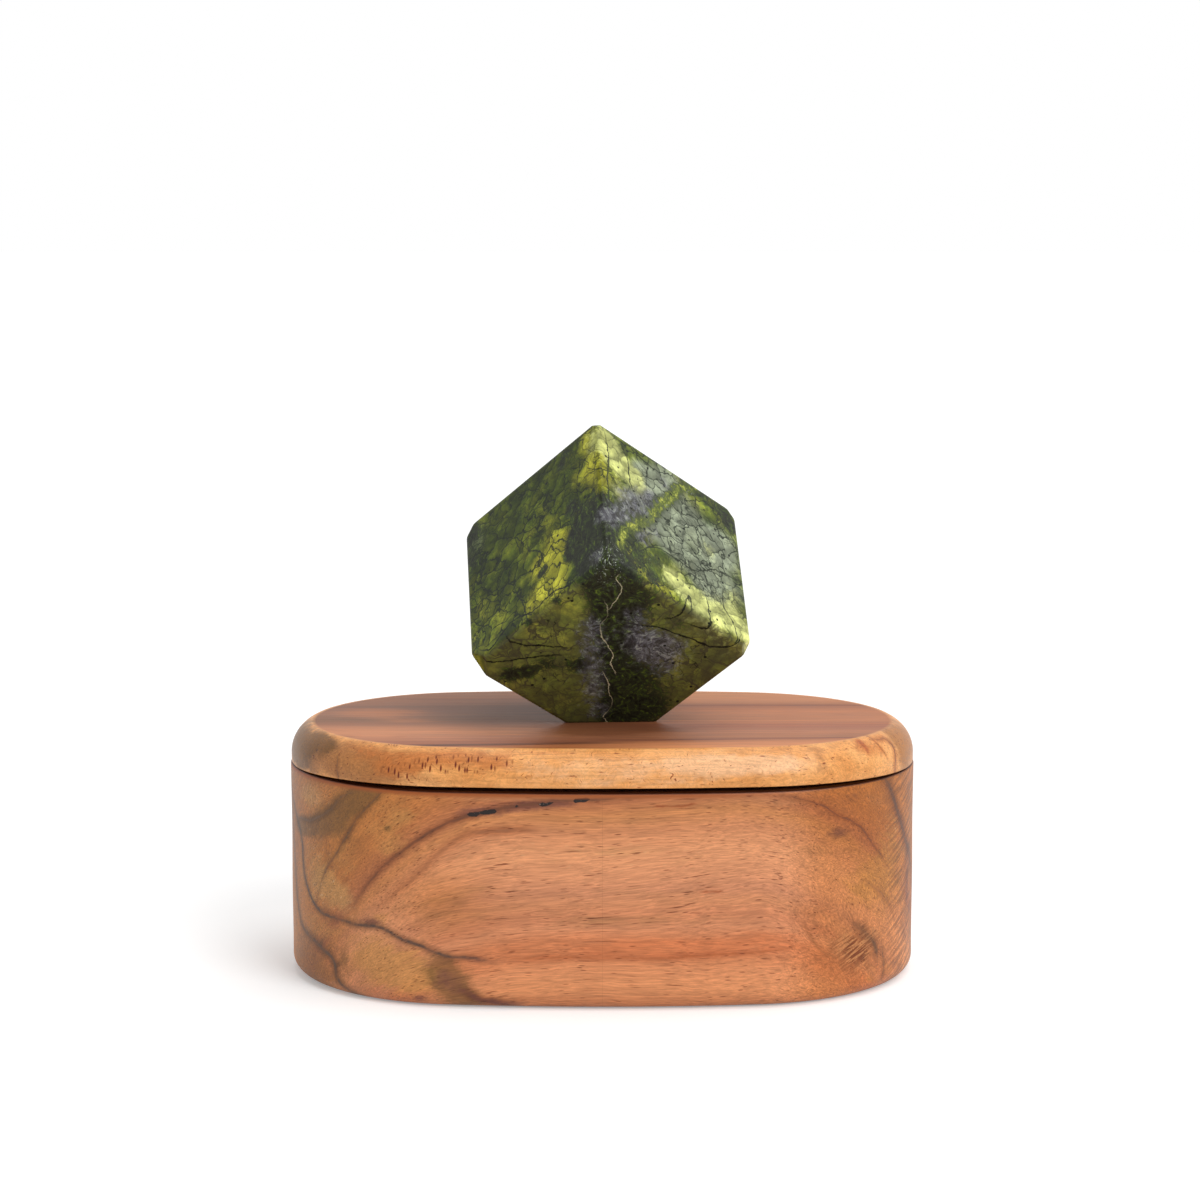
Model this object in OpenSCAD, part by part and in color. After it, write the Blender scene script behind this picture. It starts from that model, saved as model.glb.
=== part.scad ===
// Oval wooden jewelry box whose lift-off lid carries a polished stone cube standing on one corner.
// Origin: centre of the underside, on the surface that the box stands on. +Z up, front towards -Y.

/* [Outline] */
// Width of the box from end to end
body_w = 180; // [150:1:240]
// Depth of the box from front to back
body_d = 109.5; // [90:0.5:135]
// How much the radius of the two ends falls short of half the depth
end_short = 2.2; // [1:0.1:8]

/* [Body] */
// Height of the carved body, from the table to the lid's seat
body_h = 61; // [40:0.5:90]
// Thickness of the wall at the rim
wall_t = 9.5; // [6:0.5:14]
// Thickness of the floor under the cavity
floor_t = 10; // [6:0.5:16]
// Radius where the side turns under to the base
base_round = 4.5; // [1:0.25:8]
// Radius of the eased outer edge of the rim
rim_ease = 0.7; // [0.2:0.1:1.5]
// Radius where the cavity's wall meets its floor
cavity_round = 5; // [1:0.5:10]

/* [Base pad] */
// Thickness of the felt under the box
pad_t = 1.2; // [0.8:0.1:3]
// How far the felt stands below the wood
pad_proud = 0.2; // [0.1:0.05:0.5]
// Distance from the outside of the box to the edge of the felt
pad_inset = 10; // [6:0.5:20]

/* [Linings] */
// Thickness of the felt in the cavity and under the lid
lining_t = 1.2; // [0.6:0.1:2.5]
// How far the wall's felt stops below the rim
lining_drop = 1.5; // [0:0.25:6]
// Gap between a felt and the curved wood that it is glued to
glue_gap = 0.08; // [0.02:0.01:0.2]

/* [Lid] */
// Thickness of the lid
lid_t = 11.4; // [10:0.1:20]
// Radius of the lid's rounded side
lid_round = 9.5; // [4:0.25:10]
// How far below the round's own top the flat top cuts it, which leaves a soft crease
lid_brow = 0.75; // [0:0.05:1.5]
// How far the lid stands in from the side of the body
lid_inset = 0.3; // [0:0.05:1.5]
// Radius of the eased lower edge of the lid
lid_ease = 0.5; // [0.2:0.1:0.6]
// Gap under the lid's edge at the middle of the front and the back
lid_bow = 1.1; // [0.3:0.1:2]
// Length of the flat seat at each end of the lid
seat_l = 8; // [4:0.5:9]

/* [Lid plug] */
// Thickness of the panel under the lid that drops into the cavity
plug_t = 8; // [7.5:0.5:14]
// Gap between that panel and the wall's felt
plug_fit = 0.7; // [0.4:0.1:2]
// Radius of the panel's eased lower edge
plug_ease = 1.2; // [0.4:0.1:2]

/* [Stone] */
// Edge length of the stone cube
stone_edge = 56.5; // [40:0.1:64]
// Radius of the cube's softened edges
stone_ease = 1.5; // [0.6:0.1:3]
// How far the top corner is ground back, along the cube's diagonal
crown_cut = 1.6; // [1.5:0.1:4]
// How far each corner round the sides is ground back, along its own diagonal
corner_cut = 2.7; // [1.8:0.1:4]
// How far the bottom corner is ground back to make the foot
foot_cut = 11.1; // [9:0.1:14]
// Centre of the cube, to the right of the box's centre
stone_x = 1; // [-6:0.1:6]
// Lean of the cube towards the back, in degrees
stone_lean_back = 2.1; // [-6:0.1:6]
// Lean of the cube towards the right, in degrees
stone_lean_side = -3.4; // [-6:0.1:6]
// Turn of the cube about the upright, in degrees
stone_turn = 1.7; // [-60:0.1:60]

/* [Stud] */
// Diameter of the threaded stud
stud_d = 6; // [4:0.5:7]
// Length of the stud inside the stone
stud_deep = 16; // [10:0.5:24]
// Radial room for resin round the stud in the stone
resin_gap = 0.15; // [0.05:0.05:0.4]
// Radial room round the stud in the lid
stud_room = 0.3; // [0.1:0.05:0.8]
// Radial room between the stud's thread and the nut
thread_room = 0.05; // [0.02:0.01:0.1]
// How far the stud's end stands past the nut
stud_past = 0.8; // [0.2:0.1:1.2]
// Size of the nut across its flats
nut_af = 10; // [8:0.5:12]
// Thickness of the nut
nut_t = 4.4; // [3:0.1:4.8]
// Outside diameter of the washer
washer_d = 14; // [12:0.5:18]
// Thickness of the washer
washer_t = 1.4; // [0.8:0.1:1.6]
// Radial room round the washer in the plug
socket_room = 1; // [0.5:0.25:3]

/* [Hidden] */

// The outline is four arcs that meet smoothly: two ends, and two long sides of a much larger radius.
half_w = body_w / 2;
half_d = body_d / 2;
end_r = half_d - end_short;
end_x = half_w - end_r;
side_r = (end_x * end_x + half_d * half_d - end_r * end_r) / (2 * end_short);
side_y = side_r - half_d;
join_a = atan2(side_y, end_x);

// How far past the middle each side's band runs, so that the two bands overlap inside the solid
cover = 12;
// The ends stand this much proud of the sides where the two meet, too little to see or feel
join_step = 0.05;
// Length over which each end and each side overlap, so that they join without a seam
lap = 1;
// Sides of a full circle in the previews of the ends and of the long sides
end_fn = 160;
side_fn = 900;
small_fn = 64;
// Margin of a cutter past the face that it opens
over = 1;

body_z = pad_proud;
cavity_inset = wall_t;
cavity_z = body_z + floor_t;
lining_inset = cavity_inset + glue_gap;
plug_inset = lining_inset + lining_t + plug_fit;
lid_z = body_h;
lid_top = lid_z + lid_t;
lining_edge_inset = plug_inset + plug_ease;

// The lid's lower edge is a long shallow arch between its two flat seats.
bow_half = half_w - lid_inset - seat_l;
bow_r = (bow_half * bow_half + lid_bow * lid_bow) / (2 * lid_bow);
bow_fn = 1800;

// The cube's diagonal leans, so its foot lies a little to one side of the cube's centre.
stone_half_diagonal = stone_edge * sqrt(3) / 2;
stone_rise = stone_half_diagonal - foot_cut;
stone_z = lid_top + stone_rise;
stud_x = stone_x - stone_rise * tan(stone_lean_side);
stud_y = stone_rise * tan(stone_lean_back);
stud_r = stud_d / 2;
washer_z = lid_z - washer_t;
nut_z = washer_z - nut_t;
stud_z = nut_z - stud_past;
socket_r = washer_d / 2 + socket_room;

// Waste outside a round of radius r at the corner (r, 0) of a section
module corner_waste(r) {
  difference() {
    translate([0, -over])
      square([r + over, r + over]);
    translate([0, r])
      circle(r, $fn = small_fn);
  }
}

// Section of the outline's edge: it reaches out to `reach` and `depth` back from there.
// The flat top cuts the upper round `brow` below the round's own top.
module edge_section(reach, depth, h, low, high, brow) {
  difference() {
    translate([reach - depth, 0])
      square([depth, h]);
    if (low > 0)
      translate([reach - low, 0])
        corner_waste(low);
    if (high > 0)
      translate([reach - high, h + brow])
        mirror([0, 1])
          corner_waste(high);
  }
}

// Solid on the box's outline, moved in by `inset`, with its lower and upper edge rounded.
// Each end runs in past `meet_x` and each side out past it, so that they overlap by `lap` there.
module oval_solid(inset, h, low = 0, high = 0, brow = 0) {
  end_reach = end_r + join_step - inset;
  side_reach = side_r - inset;
  meet_x = end_x + (end_reach - max(low, high) / 2) * cos(join_a);
  for (side = [-1, 1]) {
    intersection() {
      translate([side * end_x, 0, 0])
        rotate_extrude($fn = end_fn)
          edge_section(end_reach, end_reach, h, low, high, brow);
      translate([side * (meet_x - lap / 2 + half_w), 0, h / 2])
        cube([2 * half_w, body_d + 2 * over, h + 2 * over], center = true);
    }
    intersection() {
      translate([0, side * side_y, 0])
        rotate_extrude($fn = side_fn)
          edge_section(side_reach, half_d - inset + cover, h, low, high, brow);
      translate([0, 0, h / 2])
        cube([2 * meet_x + lap, body_d + 2 * over, h + 2 * over], center = true);
    }
  }
}

// Carved body with its cavity, and a shallow recess for the felt underneath
module box_body() {
  color("#B06A35")
    difference() {
      translate([0, 0, body_z])
        oval_solid(0, body_h - body_z, base_round, rim_ease);
      translate([0, 0, cavity_z])
        oval_solid(cavity_inset, body_h - cavity_z + over, cavity_round);
      translate([0, 0, body_z - over])
        oval_solid(pad_inset - glue_gap, pad_t - pad_proud + over);
    }
}

// Felt in the recess, which the box stands on
module base_pad() {
  color("#3E3A36")
    oval_solid(pad_inset, pad_t);
}

// Felt on the cavity's floor, inside the round where the wall meets it
module floor_lining() {
  color("#5B2A2C")
    translate([0, 0, cavity_z])
      oval_solid(cavity_inset + cavity_round, lining_t);
}

// Felt strip round the cavity's wall, from the round at the floor up to just below the rim
module wall_lining() {
  strip_z = cavity_z + cavity_round;
  strip_h = body_h - lining_drop - strip_z;
  color("#5B2A2C")
    translate([0, 0, strip_z])
      difference() {
        oval_solid(lining_inset, strip_h);
        translate([0, 0, -over])
          oval_solid(lining_inset + lining_t, strip_h + 2 * over);
      }
}

// Sliver that lifts the lid's edge off the rim between the seats, outside the glued plug
module bow_waste() {
  difference() {
    translate([0, 0, lid_z + lid_bow - bow_r])
      rotate([90, 0, 0])
        cylinder(r = bow_r, h = body_d + 2 * over, center = true, $fn = bow_fn);
    translate([0, 0, lid_z - over])
      oval_solid(plug_inset, lid_bow + 2 * over);
  }
}

// Lid slab with its rounded top edge, the hole for the stud, and a seat at each end
module lid() {
  color("#B9744A")
    difference() {
      translate([0, 0, lid_z])
        oval_solid(lid_inset, lid_t, lid_ease, lid_round, lid_brow);
      bow_waste();
      translate([stud_x, stud_y, lid_z - over])
        cylinder(r = stud_r + stud_room, h = lid_t + 2 * over, $fn = small_fn);
    }
}

// Wooden panel glued under the lid: it drops into the cavity and hides the nut in its socket
module lid_plug() {
  color("#A8683C")
    translate([0, 0, lid_z - plug_t])
      difference() {
        oval_solid(plug_inset, plug_t, plug_ease);
        translate([stud_x, stud_y, -over])
          cylinder(r = socket_r, h = plug_t + 2 * over, $fn = small_fn);
      }
}

// Felt glued over the plug's underside
module lid_lining() {
  color("#5B2A2C")
    translate([0, 0, lid_z - plug_t - lining_t])
      oval_solid(lining_edge_inset, lining_t);
}

// Cube with softened edges and corners, centred on the origin
module soft_cube(edge, ease) {
  flat = edge - 2 * ease;
  reach = flat / 2;
  cube([edge, flat, flat], center = true);
  cube([flat, edge, flat], center = true);
  cube([flat, flat, edge], center = true);
  for (turn = [[0, 0, 0], [90, 0, 0], [0, 90, 0]], x = [-reach, reach], y = [-reach, reach])
    rotate(turn)
      translate([x, y, 0])
        cylinder(r = ease, h = flat, center = true, $fn = small_fn);
  for (x = [-reach, reach], y = [-reach, reach], z = [-reach, reach])
    translate([x, y, z])
      sphere(r = ease, $fn = small_fn);
}

// Turns the cube's (1, 1, 1) diagonal upright, with one upper corner towards the front
module stand_on_corner() {
  rotate([0, 0, -90])
    rotate([0, -atan(sqrt(2)), 0])
      rotate([0, 0, -45])
        children();
}

// Blocks that grind the cube's corners flat. The top one, at (1, 1, 1), is ground back less than the rest.
module corner_blocks() {
  for (turn = [45:90:315], pitch = [-1, 1]) {
    cut = turn == 45 && pitch == -1 ? crown_cut : corner_cut;
    rotate([0, 0, turn])
      rotate([0, pitch * atan(1 / sqrt(2)), 0])
        translate([stone_half_diagonal - cut, -stone_edge / 4, -stone_edge / 4])
          cube([stone_edge / 4, stone_edge / 2, stone_edge / 2]);
  }
}

// Polished cube standing on its ground-off corner, with a blind hole for the stud
module stone_cube() {
  color("#5E6E2E")
    difference() {
      translate([stone_x, 0, stone_z])
        rotate([stone_lean_back, stone_lean_side, stone_turn])
          stand_on_corner()
            difference() {
              soft_cube(stone_edge, stone_ease);
              corner_blocks();
            }
      translate([-stone_edge, -stone_edge, lid_top - 2 * foot_cut])
        cube([2 * stone_edge, 2 * stone_edge, 2 * foot_cut]);
      translate([stud_x, stud_y, lid_top - over])
        cylinder(r = stud_r + resin_gap, h = stud_deep + over, $fn = small_fn);
    }
}

// Threaded stud, set in resin in the stone and running down through the lid
module stone_stud() {
  color("#B8B8B4")
    translate([stud_x, stud_y, stud_z])
      cylinder(r = stud_r, h = lid_top + stud_deep - stud_z, $fn = small_fn);
}

// Washer against the lid's underside
module stud_washer() {
  color("#C4C4C0")
    translate([stud_x, stud_y, washer_z])
      difference() {
        cylinder(d = washer_d, h = washer_t, $fn = small_fn);
        translate([0, 0, -over])
          cylinder(r = stud_r + stud_room, h = washer_t + 2 * over, $fn = small_fn);
      }
}

// Hexagon nut that draws the stone down on the lid
module stud_nut() {
  color("#C4C4C0")
    translate([stud_x, stud_y, nut_z])
      difference() {
        cylinder(d = nut_af / cos(30), h = nut_t, $fn = 6);
        translate([0, 0, -over])
          cylinder(r = stud_r + thread_room, h = nut_t + 2 * over, $fn = small_fn);
      }
}

box_body();
base_pad();
floor_lining();
wall_lining();
lid();
lid_plug();
lid_lining();
stone_cube();
stone_stud();
stud_washer();
stud_nut();
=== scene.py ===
import bpy
import numpy as np
from mathutils import Euler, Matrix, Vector


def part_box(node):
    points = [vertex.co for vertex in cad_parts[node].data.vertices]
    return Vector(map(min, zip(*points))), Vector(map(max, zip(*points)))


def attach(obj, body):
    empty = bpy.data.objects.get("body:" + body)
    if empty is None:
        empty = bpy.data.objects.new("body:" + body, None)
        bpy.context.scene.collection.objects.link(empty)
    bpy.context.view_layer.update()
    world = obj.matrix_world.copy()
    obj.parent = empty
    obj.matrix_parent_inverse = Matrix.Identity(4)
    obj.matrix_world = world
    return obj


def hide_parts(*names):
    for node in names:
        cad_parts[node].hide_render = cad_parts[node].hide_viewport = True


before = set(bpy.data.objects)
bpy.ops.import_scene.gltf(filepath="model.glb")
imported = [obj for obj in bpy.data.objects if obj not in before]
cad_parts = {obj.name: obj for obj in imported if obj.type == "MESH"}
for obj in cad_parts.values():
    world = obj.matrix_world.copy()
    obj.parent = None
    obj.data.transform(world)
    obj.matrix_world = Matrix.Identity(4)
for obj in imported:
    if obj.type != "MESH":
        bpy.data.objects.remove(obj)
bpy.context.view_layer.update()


# Box body
# One block of oiled hardwood, carved hollow and sanded smooth by hand. Its oval is four arcs. The foot
# turns under, the rim is eased, and the cavity's wall runs into its floor in a round. Sizes are millimetres.

body_low, body_high = (1000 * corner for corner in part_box("box_body"))
half_w = (body_high.x - body_low.x) / 2
half_d = (body_high.y - body_low.y) / 2
body_z = body_low.z
rim_z = body_high.z
end_short = 2.2
wall_t = 9.5
base_round = 4.5
rim_ease = 0.7
inner_ease = 0.4
cavity_z = 1000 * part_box("floor_lining")[0].z
cavity_round = 5
recess_inset = 9.92
recess_z = 1.2
sanding_wave = 0.1
side_steps = 54
bend_middle = 120
bend_ease = 12
bend = 0.0095
knot_along, knot_z = 73.5, 14
knot_half_w, knot_half_h = 12, 9

end_r = half_d - end_short
end_x = half_w - end_r
side_r = (end_x**2 + half_d**2 - end_r**2) / (2 * end_short)
side_y = side_r - half_d
join_angle = np.pi / 2 - np.arctan2(side_y, end_x)
side_length = side_r * join_angle
end_length = end_r * (np.pi - 2 * join_angle)
perimeter = 4 * side_length + 2 * end_length
columns = 480
around = (np.arange(columns) + 0.5) / columns * perimeter - perimeter / 2


def oval(inset):
    """Points (x, y) of the oval moved in by inset, one for each place around, from the back's middle."""
    way = np.abs(around)
    on_front = way < side_length
    on_end = ~on_front & (way < side_length + end_length)
    on_back = ~on_front & ~on_end
    turn = np.where(on_front, way / side_r, join_angle + (way - side_length) / end_r)
    turn = np.where(on_back, np.pi - (perimeter / 2 - way) / side_r, turn)
    radius = np.where(on_end, end_r, side_r) - inset
    x = np.where(on_end, end_x, 0) + radius * np.sin(turn)
    y = np.where(on_front, side_y, np.where(on_back, -side_y, 0)) - radius * np.cos(turn)
    return np.sign(around) * x, y


def rounded(radius, inset, z, quarter, steps, share=1):
    """Rings of a round about (inset, z), from quarter turn 0 at its foot, 1 at its side or 2 at its top."""
    angles = (quarter + share * np.linspace(0, 1, steps)) * np.pi / 2
    return [(inset - radius * np.sin(a), z - radius * np.cos(a)) for a in angles]


def between(start, end, steps):
    """Rings on the straight way from one ring to another, without the two ends."""
    return [tuple(np.add(start, np.subtract(end, start) * k / (steps + 1))) for k in range(1, steps + 1)]


def sweep(rings, lift=None):
    """Points of closed rings (inset, z) round the oval, and the faces between them and over both ends."""
    points = np.zeros((len(rings), columns, 3))
    for row, (inset, z) in enumerate(rings):
        x, y = oval(inset)
        points[row] = np.stack([x, y, z + (0 * x if lift is None else lift(x, inset))], axis=1)
    here = np.arange(columns)
    after = (here + 1) % columns
    faces = []
    for row in range(len(rings) - 1):
        low, high = row * columns, (row + 1) * columns
        faces += np.stack([low + here, low + after, high + after, high + here], axis=1).tolist()
    faces.append(here[::-1].tolist())
    faces.append((here + (len(rings) - 1) * columns).tolist())
    return points.reshape(-1, 3), faces


def built(name, points, faces, crease=35):
    """Mesh object from points in millimetres, smooth but for edges sharper than crease degrees."""
    mesh = bpy.data.meshes.new(name)
    mesh.from_pydata((points / 1000).tolist(), [], faces)
    mesh.shade_smooth()
    mesh.set_sharp_from_angle(angle=np.radians(crease))
    piece = bpy.data.objects.new(name, mesh)
    bpy.context.scene.collection.objects.link(piece)
    return piece


def paint(piece, name, values):
    """Keeps one number or one vector for each point of the mesh, for a material to read."""
    kind, key = ("FLOAT", "value") if values.ndim == 1 else ("FLOAT_VECTOR", "vector")
    layer = piece.data.attributes.new(name, kind, "POINT")
    layer.data.foreach_set(key, values.astype(np.float32).ravel())


def smooth_step(low, high, value):
    """How far a value has come from low to high, from 0 to 1, slow at both ends."""
    share = np.clip((value - low) / (high - low), 0, 1)
    return share * share * (3 - 2 * share)


body_rings = [(recess_inset, recess_z), (recess_inset, body_z)]
body_rings += rounded(base_round, base_round, body_z + base_round, 0, 10)
body_rings += between((0, body_z + base_round), (0, rim_z - rim_ease), side_steps)
body_rings += rounded(rim_ease, rim_ease, rim_z - rim_ease, 1, 5)
body_rings += [(rim_ease + 0.5, rim_z), (rim_ease + 2, rim_z)]
body_rings += rounded(inner_ease, wall_t - inner_ease, rim_z - inner_ease, 2, 4)
body_rings += between((wall_t, rim_z - inner_ease), (wall_t, cavity_z + cavity_round), 8)
body_rings += rounded(cavity_round, wall_t + cavity_round, cavity_z + cavity_round, 0, 6)[::-1]
body_points, body_faces = sweep(body_rings)

# Where each point lies: along is the way round the outside from the front's middle, to the right
along = np.tile(around, len(body_rings))
x, y, z = body_points.T
outside = np.repeat([inset < wall_t / 2 for inset, _ in body_rings], columns)
wave = 1 + np.sin(x / 15 + z / 9) * np.sin(z / 13 - y / 19 + 1)
body_points[:, :2] *= 1 - (outside * sanding_wave / half_w * wave)[:, None]
body = built("oiled_body", body_points, body_faces)

# The growth rings run level along the front and the back, and bend down towards both ends.
from_middle = np.minimum(np.abs(along), perimeter / 2 - np.abs(along))
end_way = bend_middle - np.sqrt((bend_middle - from_middle)**2 + bend_ease**2)
on_back = smooth_step(-20, 20, y)
left_start = 14 + 14 * on_back
right_start = 37 - 12 * on_back
ring_start = np.where(along < 0, left_start, right_start)
ring_drop = bend * np.maximum(end_way - ring_start, 0)**2
paint(body, "figure", np.stack([x, y, z + ring_drop], axis=1))
rise = 0.09 * np.clip(along, -25, 45) * np.exp(-((z - 35) / 13)**2)
paint(body, "fibre", np.stack([x, y, z + 0.55 * ring_drop - rise], axis=1))


def soft_spots(across, up, spots):
    """Weight from 0 to 1 of soft oval spots, each (across, up, half width, half height, strength)."""
    weight = np.zeros(len(across))
    for centre, level, wide, high, strength in spots:
        weight += strength * np.exp(-((across - centre) / wide)**2 - ((up - level) / high)**2)
    return np.clip(weight, 0, 1)


def trace(piece, name, across, up, line, where=1):
    """Keeps the distance to a drawn line, with a sign for its side, and its strength at the nearest place.
    The line's points are (across, up, strength). It keeps no strength on points for which where is 0."""
    line = np.array(line, float)
    way = np.concatenate([[0], np.cumsum(np.hypot(*np.diff(line[:, :2], axis=0).T))])
    slope = np.gradient(line, way, axis=0)
    path = [line[0] - 400 * slope[0] * (1, 1, 0)]
    for k in range(len(line) - 1):
        for t in np.arange(0, 1, 0.125):
            lead = way[k + 1] - way[k]
            path.append((2 * t**3 - 3 * t**2 + 1) * line[k] + (t**3 - 2 * t**2 + t) * lead * slope[k]
                        + (3 * t**2 - 2 * t**3) * line[k + 1] + (t**3 - t**2) * lead * slope[k + 1])
    path += [line[-1], line[-1] + 400 * slope[-1] * (1, 1, 0)]
    nearest = np.full(len(across), np.inf)
    side = np.zeros(len(across))
    strength = np.zeros(len(across))
    for start, end in zip(path, path[1:]):
        step = end - start
        share = ((across - start[0]) * step[0] + (up - start[1]) * step[1]) / (step[0]**2 + step[1]**2)
        share = np.clip(share, 0, 1)
        gap_x = across - start[0] - share * step[0]
        gap_y = up - start[1] - share * step[1]
        gap = np.hypot(gap_x, gap_y)
        closer = gap < nearest
        nearest = np.where(closer, gap, nearest)
        side = np.where(closer, np.sign(step[0] * gap_y - step[1] * gap_x), side)
        strength = np.where(closer, start[2] + share * step[2], strength)
    offset = np.clip(side * nearest, -40, 40)
    paint(piece, name, np.stack([offset, np.clip(strength, 0, 1) * where, 0 * offset], axis=1))


# Drawn growth lines on the body, (way round, height, strength), from the left end to the right
lines = {
    "end_vein": [(-109, 52, 0.7), (-99, 43, 0.9), (-96, 31, 1), (-91, 25, 0.9), (-85.5, 22.5, 0.9),
                 (-77, 22, 0.7), (-71, 21.5, 1), (-62, 21.5, 1), (-56, 19, 1), (-49, 17, 1),
                 (-43.5, 15, 0.9), (-36, 14.5, 0.6), (-28, 13, 0)],
    "foot_vein": [(-106, 33, 0.6), (-102, 21, 0.8), (-98, 16, 0.8), (-91, 14, 0.8), (-85, 12, 0.9),
                  (-80, 9.5, 1), (-79, 6, 1), (-77.5, 3.5, 0.9), (-75, 2, 0.7)],
    "olive_rim": [(-103, 47.5, 0), (-97.5, 47.5, 0.8), (-91.5, 48, 1), (-84, 51, 1), (-79.5, 54, 0.8),
                  (-77, 56.5, 0.6), (-73, 58.5, 0.4), (-68, 60, 0)],
    "shoulder_line": [(-60, 62, 0.4), (-64, 58, 0.7), (-70, 52, 1), (-73, 48, 1), (-80, 39, 0.8),
                      (-83, 36, 0.7), (-87.5, 27.5, 0.4), (-89, 25, 0)],
    "low_smear": [(-42, 5, 0), (-38, 5, 0.8), (-35.5, 3.5, 1), (-32, 2.5, 1), (-27.5, 1.5, 0.8),
                  (-21, 2, 0)],
    "bark_line": [(20, 60.5, 0), (-3.5, 59.5, 0.8), (-16, 58.5, 0.9), (-29, 56.5, 1), (-38.5, 54, 1),
                  (-46.5, 50.5, 1), (-53, 46, 0.9), (-60.5, 40, 0.75), (-66.5, 34, 0.6), (-71, 28, 0.5),
                  (-73, 25.5, 0.2), (-75, 23, 0)],
    "inner_line": [(-16, 51, 0), (-22.5, 51, 0.8), (-29.5, 50.5, 1), (-36.5, 49.5, 0.9), (-43.5, 45.5, 0.6),
                   (-50, 39, 0.5), (-56, 33.5, 0.5), (-61, 29, 0.3), (-66, 25, 0)],
    "red_line": [(-30, 14.5, 0), (-18, 15, 0.4), (6, 15, 0.5), (20, 15, 0.6), (30, 15.5, 0.6),
                 (49, 16.5, 0.4), (60, 18, 0)],
    "red_dashes": [(8, 57, 0), (14, 57.5, 0), (15, 57.5, 1), (18, 57.5, 0.5), (21, 57.5, 0.9),
                   (25, 58, 0.8), (26, 58, 0), (36, 58, 0)],
    "low_dashes": [(20, 33, 0), (27, 33.5, 0), (28, 33.5, 0.9), (30, 33.5, 0.6), (32.5, 33.5, 0.9),
                   (33.5, 33.5, 0), (40, 34, 0)],
    "right_line": [(44, 60.5, 0), (53.5, 59, 0.6), (61, 56.5, 0.9), (67, 53, 1), (74, 49.5, 1),
                   (79.5, 44, 0.9), (85, 38.5, 0.7), (88, 35, 0)],
    "right_vein": [(82, 63, 0.6), (86.5, 60, 0.7), (92, 52.5, 0.9), (96, 47, 1), (100.5, 41, 0.9),
                   (105, 36, 0.8), (110, 27, 0.4), (113, 14, 0)],
    "low_arc": [(74, 36, 0), (79, 32, 0.5), (85.5, 27.5, 0.8), (90, 23, 0.7), (92.5, 19, 0.4),
                (93.5, 15, 0)],
    "knot_arc": [(70, 22.5, 0), (72.5, 21.5, 0.4), (76.5, 19, 0.7), (80, 16, 1), (82.5, 12, 1),
                 (83, 9.5, 0.4), (83, 7, 0)],
    "outer_arc": [(85, 14, 0), (85.5, 11, 0.7), (86.5, 7.5, 1), (86, 4.5, 0.8), (85, 2, 0)],
    "whorl_left": [(55, 26, 0), (56.5, 23, 0.5), (58.5, 19, 0.6), (62, 15, 0.7), (66, 13, 0.6),
                   (70, 11.5, 0)],
    "bark": [(-42, 54.5, 0), (-38, 55, 0), (-37, 55, 1), (-34.5, 55, 1), (-33.5, 55.5, 0.8),
             (-32.5, 55.5, 1), (-29.5, 56, 1), (-28.5, 56, 0), (-24.5, 57, 0), (-23.5, 57.5, 0.9),
             (-22, 57.5, 0), (-18, 58, 0), (-17, 58, 0.95), (-15, 58, 0.8), (-14, 58.5, 0.9),
             (-12.5, 58.5, 0), (-8.5, 59, 0), (-8, 59, 0.75), (-3.5, 59.5, 0.7), (-3, 59.5, 0),
             (10, 60.5, 0)],
}
for name, line in lines.items():
    trace(body, name, along, z, line)

# The back, its way round measured from its own middle: one long arc and a vein at each end
behind = -np.sign(along) * (perimeter / 2 - np.abs(along))
back_lines = {
    "back_arc": [(-78, 12, 0), (-70, 22, 0.5), (-55, 37, 0.8), (-36, 48, 1), (-12, 53.5, 1), (14, 52, 1),
                 (38, 44, 0.9), (58, 30, 0.7), (70, 14, 0.3), (74, 6, 0)],
    "back_vein": [(30, 64, 0.5), (42, 56, 0.8), (56, 48, 1), (70, 41, 1), (83, 33, 0.9), (94, 20, 0.8),
                  (99, 6, 0.6), (100, -4, 0.4)],
    "back_foot_vein": [(-92, 40, 0), (-84, 27, 0.6), (-74, 17, 0.9), (-60, 12.5, 1), (-46, 8, 1),
                       (-38, 3, 0.9), (-34, -3, 0.6)],
}
for name, line in back_lines.items():
    trace(body, name, behind, z, line)

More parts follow.
